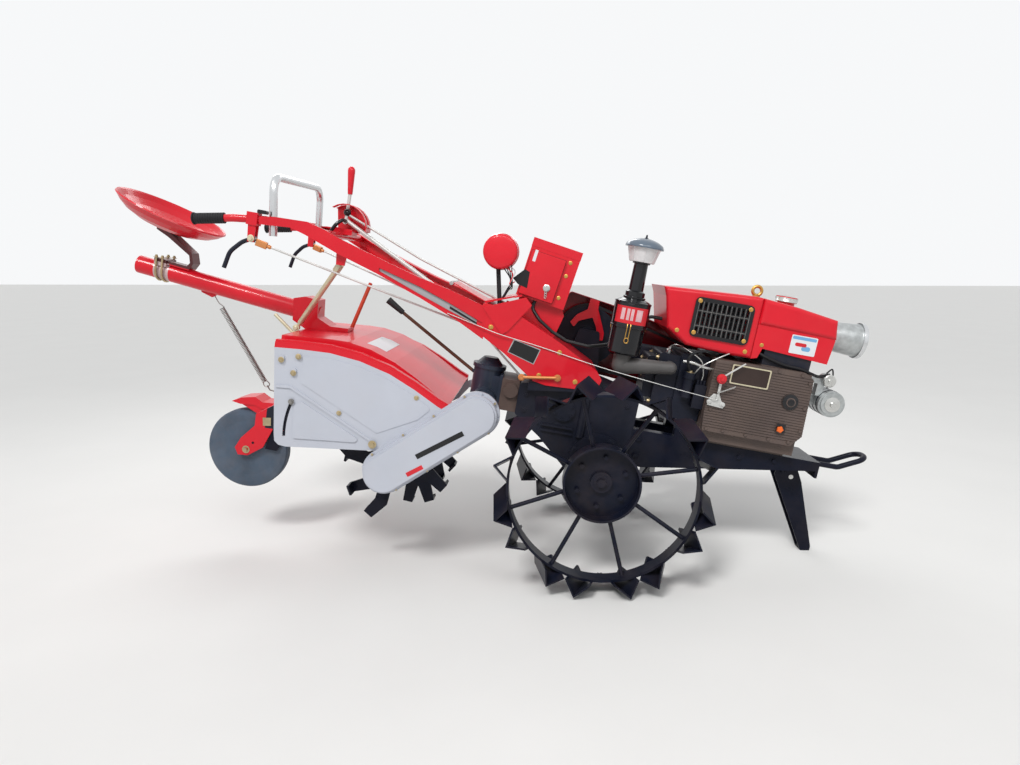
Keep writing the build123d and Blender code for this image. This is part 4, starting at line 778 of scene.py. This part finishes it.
arm_strip("handle_stripe", stripe_grey, [(-962, 626), (-807, 581.5), (-686, 537.5), (-554, 483)],
          [(-962, 616), (-802, 554), (-689, 512), (-554, 464)], 0.1 - STRIPE_DEPTH)
arm_strip("handle_stripe_bar", plate_black, [(-684, 528), (-562, 477)], [(-684, 518), (-562, 470)],
          0.7 - STRIPE_DEPTH)
plate_piece("base_plate", stripe_grey, [(-419, 443), (-307, 421), (-324, 357), (-435, 388)], 0, 0.8,
            right_face(0, 0, -HANDLE_SIDE))
plate_piece("base_plate_field", plate_black, [(-415, 439), (-311, 418), (-327, 361), (-431, 390)], 0.7, 1.2,
            right_face(0, 0, -HANDLE_SIDE))
base_bolts = Piece("base_bolts", brass)
for x, z in ((-296, 318), (-150, 318), (-92, 328), (-232, 422), (-516, 473)):
    for side in (-1, 1):
        base_bolts.bolt((x, side * HANDLE_SIDE, z), (0, side, 0), 5.5, 6)
base_bolts.finish()


# Grips with moulded ribs stand for the plain sleeves

def ribbed_grip(side, node):
    y = side * (splay_y(HANDLE_END) - 6)
    start = Vector((-1500, y, 716))
    end = Vector((-1640, y, 690))
    profile = [(14.2, -112)]
    for rib in range(12):
        foot = -112 + rib * 9.4
        profile += [(18.7, foot + 0.6), (19.8, foot + 1.8), (19.8, foot + 7.2), (18.7, foot + 8.6)]
    profile += [(22, 1), (22.5, 5), (18, 8), (0, 8.4)]
    piece = Piece(node + "_ribbed", rubber)
    piece.turned(profile, facing(end, (end - start).normalized()), 28)
    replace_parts(piece.finish(), node)


ribbed_grip(-1, "grip_right")
ribbed_grip(1, "grip_left")


# Main lever: red knob and the black ball below it

knob = Piece("lever_knob", red)
knob.turned([(9.4, -2), (9.6, 0), (10.5, 10), (14.6, 84), (15.0, 92), (13, 101), (8, 107), (0, 109)],
            facing((-1184, 5, 890), (-6, 0, 88)), 32)
knob.finish()
ball = Piece("lever_ball", gloss_black)
ball.turned([(15.4 * sin(pi * k / 14), -15.4 * cos(pi * k / 14)) for k in range(15)],
            Matrix.Translation((-1185, 5, 815)), 28)
ball.finish()


# Round lamp: rim and glass on its left side, domed back on its right

def round_lamp():
    place = Matrix.Translation((LAMP_AXIS[0], 0, LAMP_AXIS[1])) @ Matrix.Rotation(radians(-90), 4, "X")
    lamp_rim = Piece("round_lamp_rim", chrome)
    section = ((0.5, -92.4), (5.2, -90), (5.2, -82), (0, -76), (-10, -70), (-10, -84), (0, -84))
    lamp_rim.loop([(LAMP_RADIUS + out, y) for out, y in section], place, 48)
    lamp_rim.finish()
    lamp_glass = Piece("round_lamp_glass", lens)
    lamp_glass.turned([(58.4, -61), (55, -56), (38, -50), (20, -47), (0, -46)], place, 48)
    lamp_glass.finish()
    lamp_back = Piece("round_lamp_back", red)
    lamp_back.turned([(67.3, 0), (67.3, 2), (64, 7), (56, 10), (28, 12), (0, 12.6)],
                     facing((LAMP_AXIS[0], -148, LAMP_AXIS[1]), (0, -1, 0)), 48)
    lamp_back.finish()


round_lamp()


# Battery box: door with a painted shadow line in its seam, lock, bolts, blank label

battery_place = (Matrix.Translation((BATTERY_CENTRE[0], 0, BATTERY_CENTRE[1]))
                 @ Matrix.Rotation(radians(BATTERY_TILT), 4, "Y"))
door_place = battery_place @ right_face(-22, -20, -BATTERY_HALF_WIDTH)


def box_lock():
    """Round lock with three chain links below it."""
    lock = Piece("battery_box_lock", steel)
    face = battery_place @ Matrix.Translation((8, -BATTERY_HALF_WIDTH - 14, -56))
    lock.turned([(14, 0), (14, 4), (10, 6), (10, 9), (0, 9.5)],
                face @ Matrix.Rotation(radians(90), 4, "X"), 28)
    for index in range(3):
        link = battery_place @ Matrix.Translation((10 + index * 2, -BATTERY_HALF_WIDTH - 19, -72 - index * 9))
        lock.tube([link @ Vector((4 * cos(pi * k / 5), 2 * (index % 2), 6 * sin(pi * k / 5)))
                   for k in range(10)], 1.4, 6, closed=True)
    lock.finish()


def box_bolts():
    """Bolts on the right face and on the front face."""
    bolts = Piece("battery_box_bolts", brass)
    for z in (66, 12, -78):
        bolts.bolt(battery_place @ Vector((66, -BATTERY_HALF_WIDTH, z)), (0, -1, 0), 4.4, 5)
    forward = (cos(radians(BATTERY_TILT)), 0, -sin(radians(BATTERY_TILT)))
    for z in (50, -60):
        bolts.bolt(battery_place @ Vector((BATTERY_HALF_LENGTH, 40, z)), forward, 6, 5)
    bolts.finish()


plate_piece("battery_box_door", red, rounded(140, 176, 3), 0, 14, door_place, bevel=1.5)
# Dark red strip a little larger than the door: painted shadow in the door's seam
plate_piece("battery_box_seam_shadow", shaded_red, rounded(144, 180, 4), 0, 1.2, door_place)
box_lock()
box_bolts()
plate_piece("battery_box_label", label_white, rounded(12, 46, 2), 0, 0.6,
            battery_place @ right_face(-74, 50, -BATTERY_HALF_WIDTH - 14))


# Tiller: bolts of the side plates and of the depth pivot

tiller_bolts = Piece("tiller_bolts", zinc)
for side in (-1, 1):
    tiller_bolts.bolts(side, TILLER_SIDE + 7, [(-1252, 236), (-1189, 259), (-1201, 194)], 6.4, 6)
    tiller_bolts.bolts(side, TILLER_SIDE + 2, [(-1013, 73), (-733, 184), (-640, 140)], 5.4, 6)
    tiller_bolts.bolts(side, TILLER_SIDE + 9, [DEPTH_PIVOT], 9, 9)
tiller_bolts.finish()


# Tail arm: clamp bolts in the slots, bolts and plates of the fork

def clamp_bolts():
    angle = radians(CLAMP_ANGLE)
    x = DEPTH_PIVOT[0] - DEPTH_SLOT_RADIUS * cos(angle)
    z = DEPTH_PIVOT[1] + DEPTH_SLOT_RADIUS * sin(angle)
    bolts = Piece("depth_clamp_bolts", spring_steel, "tail_arm_body")
    for side in (-1, 1):
        bolts.bolts(side, TILLER_SIDE + 7, [(x, z)], 6.5, 8)
    bolts.finish()


def fork_trim():
    bolts = Piece("tail_fork_bolts", zinc, "tail_arm_body")
    for side in (-1, 1):
        bolts.bolts(side, 42, [TAIL_AXLE], 9.5, 12)
        bolts.prism([(-1301, -1), (-1270, 4), (-1267, -27), (-1297, -32)], 0, 4,
                    side_face(side, 0, 0, side * 345))
    bolts.finish()
    plates = Piece("tail_fork_plates", black, "tail_arm_body")
    for side in (-1, 1):
        plates.bolts(side, 41, [(-1450, -212)], 5, 3, washer=False)
        plates.prism([(-1400, -44), (-1302, -44), (-1306, -120), (-1346, -232), (-1398, -232), (-1374, -139)],
                     28, 34, side_face(side, 0, 0, 0))
    plates.finish()


clamp_bolts()
fork_trim()


# Tiller cover: blank sticker

plate_piece("cover_sticker", label_white,
            [(-981, 328.5), (-940, 322.1), (-901, 309), (-901, 309.8), (-940, 322.9), (-981, 329.3)],
            -45, 200, right_face(0, 0, 0))


# Front stand: a bolt on each side of its leg

stand_bolts = Piece("stand_bolts", steel, "stand_body")
for side in (-1, 1):
    stand_bolts.bolts(side, 30, [(822, 66)], 5.5, 4)
stand_bolts.finish()


# Chain case: rim bolts, and plain bars where the photo has lettering

def case_rim_places():
    """Bolt places round the flange: along both sides and round both ends."""
    (x1, z1), (x2, z2) = CHAIN_TOP_AXIS, ROTOR_AXIS
    lean = atan2(z2 - z1, x2 - x1)
    reach = CHAIN_CASE_RADIUS - 5
    places = []
    for share in (0.0, 0.33, 0.66, 1.0):
        for side in (-1, 1):
            places.append((x1 + (x2 - x1) * share - side * sin(lean) * reach,
                           z1 + (z2 - z1) * share + side * cos(lean) * reach))
    for (x, z), way in ((CHAIN_TOP_AXIS, -1), (ROTOR_AXIS, 1)):
        places.append((x + way * cos(lean) * reach, z + way * sin(lean) * reach))
    return places


rim_bolts = Piece("chain_case_bolts", zinc)
rim_bolts.bolts(-1, TILLER_SIDE + 20, case_rim_places(), 4.2, 4, washer=False)
rim_bolts.finish()
plate_piece("chain_case_bar", plate_black, [(-698, -16), (-541, 105), (-529, 90), (-686, -31)], 0, 0.6,
            right_face(0, 0, -CHAIN_CASE_FACE))
plate_piece("chain_case_red_bar", label_red, [(-722, -92), (-668, -50), (-658, -63), (-712, -105)], 0, 0.6,
            right_face(0, 0, -CHAIN_CASE_FACE))


# Seat: bolts in the pan, U-bolts round the beam

def seat_bolts():
    place = (Matrix.Translation((SEAT_PLACE[0], 0, SEAT_PLACE[1]))
             @ Matrix.Rotation(radians(SEAT_TILT), 4, "Y"))
    bolts = Piece("seat_bolts", zinc)
    for x, y in ((-18, 0), (18, 0), (0, -18), (0, 18)):
        bolts.bolt(place @ Vector((x, y, 0.6)), place.to_3x3() @ Vector((0, 0, 1)), 6, 5)
    bolts.finish()


def u_bolts():
    bolts = Piece("seat_u_bolts", zinc)
    for x in (-1934, -1908):
        middle = BEAM_REAR[1] - (x - BEAM_REAR[0]) * BEAM_FALL
        under = [(x, -45 * cos(radians(a)), middle - 41 * sin(radians(a))) for a in range(0, 181, 15)]
        bolts.tube([(x, -45, 512)] + under + [(x, 45, 512)], 4.5, 10)
        for side in (-1, 1):
            bolts.bolt((x, side * 45, 501), (0, 0, 1), 6.5, 7)
    bolts.finish()


seat_bolts()
u_bolts()


# Seat beam: hook of the tension spring, sleeve on the saddle's stay

plate_piece("beam_spring_hook", red, [(-1766, 412), (-1688, 406), (-1692, 380), (-1706, 372), (-1752, 386)],
            -5, 5, right_face(0, 0, 0), bevel=1)
tube_piece("saddle_stay_sleeve", orange_red, [(-1113, 40, 346), (-1061.5, 50, 544)], 8.4, 14)


# Tension spring: wound wire stands for the plain rod

def wound_spring():
    start = Vector((-1700, 0, 384.3))
    end = Vector((-1416, 0, 18))
    along = (end - start).normalized()
    side = Vector((0, 1, 0))
    up = along.cross(side)
    top = start + along * 62
    bottom = end - along * 44
    reach = (bottom - top).length
    turns = int(reach / 6.2)
    steps = turns * 12
    wire = 2.1
    radius = 9.6
    path = [start, start + along * 40]
    for step in range(steps + 1):
        share = step / steps
        angle = 2 * pi * turns * share
        path.append(top + along * reach * share + (side * sin(angle) + up * cos(angle)) * radius)
    for step in range(1, 13):
        angle = 2 * pi * step / 16
        path.append(bottom + along * (10 + 14 * sin(angle)) + up * 13 * cos(angle) + side * 2)
    piece = Piece("tension_spring_coil", spring_steel)
    piece.tube(path, wire, 6)
    piece.tube([end - along * 26, end - along * 4, Vector((end.x + 24, 0, end.z)),
                Vector((-1260, 0, end.z))], 3, 8)
    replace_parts(piece.finish(), "tension_spring")


wound_spring()


# Brace rod: bent end, sleeve, head and bolt

def brace_sleeve():
    top = Vector(BRACE_TOP)
    run = Vector(BRACE_FOOT) - top
    brace = Piece("brace_rod_sleeve", pale_zinc)
    brace.tube([(-1390, -113, 365), (-1304, -113, 300)], 7, 12)
    brace.tube([(-1304, -113, 300), (-1296, -113, 322)], 6, 12)
    brace.turned([(8, 34), (11, 36), (11, run.length - 30), (8, run.length - 24)], facing(top, run), 16)
    brace.prism(rounded(20, 26, 4), 12, 50, facing(top, run))
    brace.bolt((BRACE_FOOT[0], BRACE_FOOT[1] - 10, BRACE_FOOT[2]), (0, -1, 0), 8, 8)
    brace.finish(bevel=0.8)


brace_sleeve()


# Hand end: yokes of the steering rods, a switch, and a small hand piece by the sector

def steering_yoke(side, name):
    pivot = Vector((STEER_PIVOT[0], side * STEER_PIVOT[1], STEER_PIVOT[2]))
    start = pivot + Vector((9, 0, -9))
    rod = Vector((-639, side * 120, 469)) - start
    yoke = Piece(name + "_yoke", amber)
    yoke.prism(rounded(20, 26, 4), 6, 46, facing(start, rod))
    yoke.turned([(7, 46), (7.5, 58), (5, 62), (0, 62)], facing(start, rod), 16)
    yoke.finish(bevel=0.8)
    pin = Piece(name + "_pin", pale_zinc)
    pin.bolt(pivot + Vector((0, side * 15, 0)), (0, side, 0), 7.5, 8)
    pin.finish()


steering_yoke(-1, "steering_right")
steering_yoke(1, "steering_left")
switch = Piece("hand_switch", gloss_black)
switch.prism(rounded(34, 14, 5), 0, 24, right_face(-1396, 755, -308))
switch.tube(smooth_path([(-1184, -8, 780), (-1188, -44, 780), (-1206, -58, 760), (-1222, -60, 732)]), 7.5, 12)
switch.finish()


# Gearbox and engine frame: bolts, and the tie rod at the gearbox's right side

def gearbox_bolts():
    """Bolts round the axle, on the side walls, and round the boss above and behind the axle."""
    bolts = Piece("gearbox_bolts", cast)
    for side in (-1, 1):
        bolts.bolts(side, 130, circle_places(8, 104, 22.5), 7, 6)
        bolts.bolts(side, 115, [(-330, 225), (-330, 160), (-270, 120), (80, 250), (100, 60)], 7, 6)
        bolts.bolts(side, 125, [(-170 + x, 190 + z) for x, z in circle_places(6, 37)], 5, 5, washer=False)
    bolts.finish()


gearbox_bolts()
rail_bolts = Piece("rail_bolts", black)
for side in (-1, 1):
    rail_bolts.bolts(side, 120, [(150, 60), (150, 130), (560, 130), (700, 140)], 9, 8)
rail_bolts.finish()
tie = Piece("gearbox_tie", amber)
tie.tube([(-368, -164, 299), (-216, -164, 323)], 6.5, 12)
tie.bolts(-1, 164, [(-362, 300), (-222, 322)], 8, 12)
tie.finish()


# Painted highlight on the deck's rear edge, and throttle cable

# Galvanised bar along the deck's rolled rear edge: a painted highlight
tube_piece("deck_edge_highlight", galvanised, [(-704, -101, 613), (-704, 101, 613)], 8.2, 14)
tube_piece("throttle_cable", rod_steel,
           smooth_path([(-690, -190, 500), (-560, -168, 470), (-470, -168, 452), (-313, -160, 432),
                        (-65, -166, 396), (180, -196, 374), (398, -206, 356)], 6), 1.6, 8)


# Lamp wiring between the round lamp and the battery box

def lamp_harness():
    """Sleeve under the lamp, four wires, and a flat piece beside the battery box."""
    harness = Piece("lamp_harness", rubber)
    harness.tube([(-500.5, -108, 566), (-529, -108, 702)], 9, 12)
    for index in range(4):
        harness.tube(smooth_path([(-506 + index * 9, -116, 706 + index * 6),
                                  (-474 + index * 4, -122, 668 - index * 9),
                                  (-482 + index * 3, -118, 628), (-496 + index * 2, -110, 588)]), 2.2, 8)
    harness.prism([(-466, 675), (-425, 718), (-404, 710), (-404, 646), (-442, 655)], 0, 12,
                  right_face(0, 0, -98))
    harness.finish(bevel=1.5)


lamp_harness()
tube_piece("lamp_wire_red", label_red,
           smooth_path([(-500, -120, 714), (-468, -126, 690), (-474, -122, 650), (-456, -108, 662)]), 2.2, 8)
tube_piece("lamp_wire_white", label_white,
           smooth_path([(-494, -120, 720), (-462, -126, 704), (-470, -124, 664), (-494, -112, 600)]), 2.2, 8)


# Studio

def floor():
    size = 40.0
    corners = [(-size, -size, 0), (size, -size, 0), (size, size, 0), (-size, size, 0)]
    data = bpy.data.meshes.new("floor")
    data.from_pydata(corners, [], [(0, 1, 2, 3)])
    data.materials.append(surface("floor_paint", (0.80, 0.79, 0.77), 0.75, tone=0.015, grain=0.05,
                                  tone_scale=1.5))
    plane = bpy.data.objects.new("floor", data)
    bpy.context.scene.collection.objects.link(plane)


def world_light():
    """Soft light from all round; camera, glossy and transmission rays see the pale background."""
    world = bpy.data.worlds.new("studio")
    bpy.context.scene.world = world
    world.use_nodes = True
    tree = world.node_tree
    lit = tree.nodes["Background"]
    feed(tree, lit, {"Color": (0.94, 0.97, 1.0, 1), "Strength": 0.45})
    shown = node_in(tree, "Background", {"Color": (0.93, 0.94, 0.95, 1), "Strength": 1.0})
    ray = tree.nodes.new("ShaderNodeLightPath")
    seen = ray.outputs["Is Camera Ray"]
    for kind in ("Is Glossy Ray", "Is Transmission Ray"):
        seen = node_in(tree, "Math", {0: seen, 1: ray.outputs[kind]}, operation="MAXIMUM").outputs["Value"]
    mix = node_in(tree, "MixShader", {"Fac": seen, 1: lit.outputs["Background"],
                                      2: shown.outputs["Background"]})
    feed(tree, tree.nodes["World Output"], {"Surface": mix.outputs["Shader"]})


def sun_light():
    data = bpy.data.lights.new("sun", "SUN")
    data.energy = 1.6
    data.angle = radians(14)
    sun = bpy.data.objects.new("sun", data)
    sun.rotation_euler = (radians(38), radians(-14), radians(-8))
    bpy.context.scene.collection.objects.link(sun)


def softbox(name, size, energy, at):
    """Long lamp above one side, aimed at the machine's middle."""
    data = bpy.data.lights.new(name, "AREA")
    data.shape = "RECTANGLE"
    data.size, data.size_y = size
    data.energy = energy
    box = bpy.data.objects.new(name, data)
    box.location = at
    box.rotation_mode = "QUATERNION"
    box.rotation_quaternion = (Vector((0, 0, 0.6)) - Vector(at)).to_track_quat("-Z", "Y")
    box.visible_camera = False
    bpy.context.scene.collection.objects.link(box)


def camera():
    data = bpy.data.cameras.new("camera")
    data.sensor_width = 36.0
    data.lens = data.sensor_width * FOCAL_PIXELS / FRAME_PIXELS
    data.clip_end = 100.0
    eye_point = bpy.data.objects.new("camera", data)
    eye_point.location = [near + far for near, far in zip((AXLE[0], 0, AXLE[2]), CAMERA_FROM_AXLE)]
    forward = Vector((sin(CAMERA_YAW) * cos(CAMERA_PITCH), cos(CAMERA_YAW) * cos(CAMERA_PITCH),
                      -sin(CAMERA_PITCH)))
    eye_point.rotation_mode = "QUATERNION"
    eye_point.rotation_quaternion = forward.to_track_quat("-Z", "Y")
    bpy.context.scene.collection.objects.link(eye_point)
    bpy.context.scene.camera = eye_point


floor()
world_light()
sun_light()
softbox("softbox_near", (3.4, 1.0), 46, (0.6, -2.6, 3.2))
softbox("softbox_far", (3.4, 1.0), 40, (-0.8, 2.4, 3.0))
camera()
bpy.context.scene.view_settings.view_transform = "Standard"
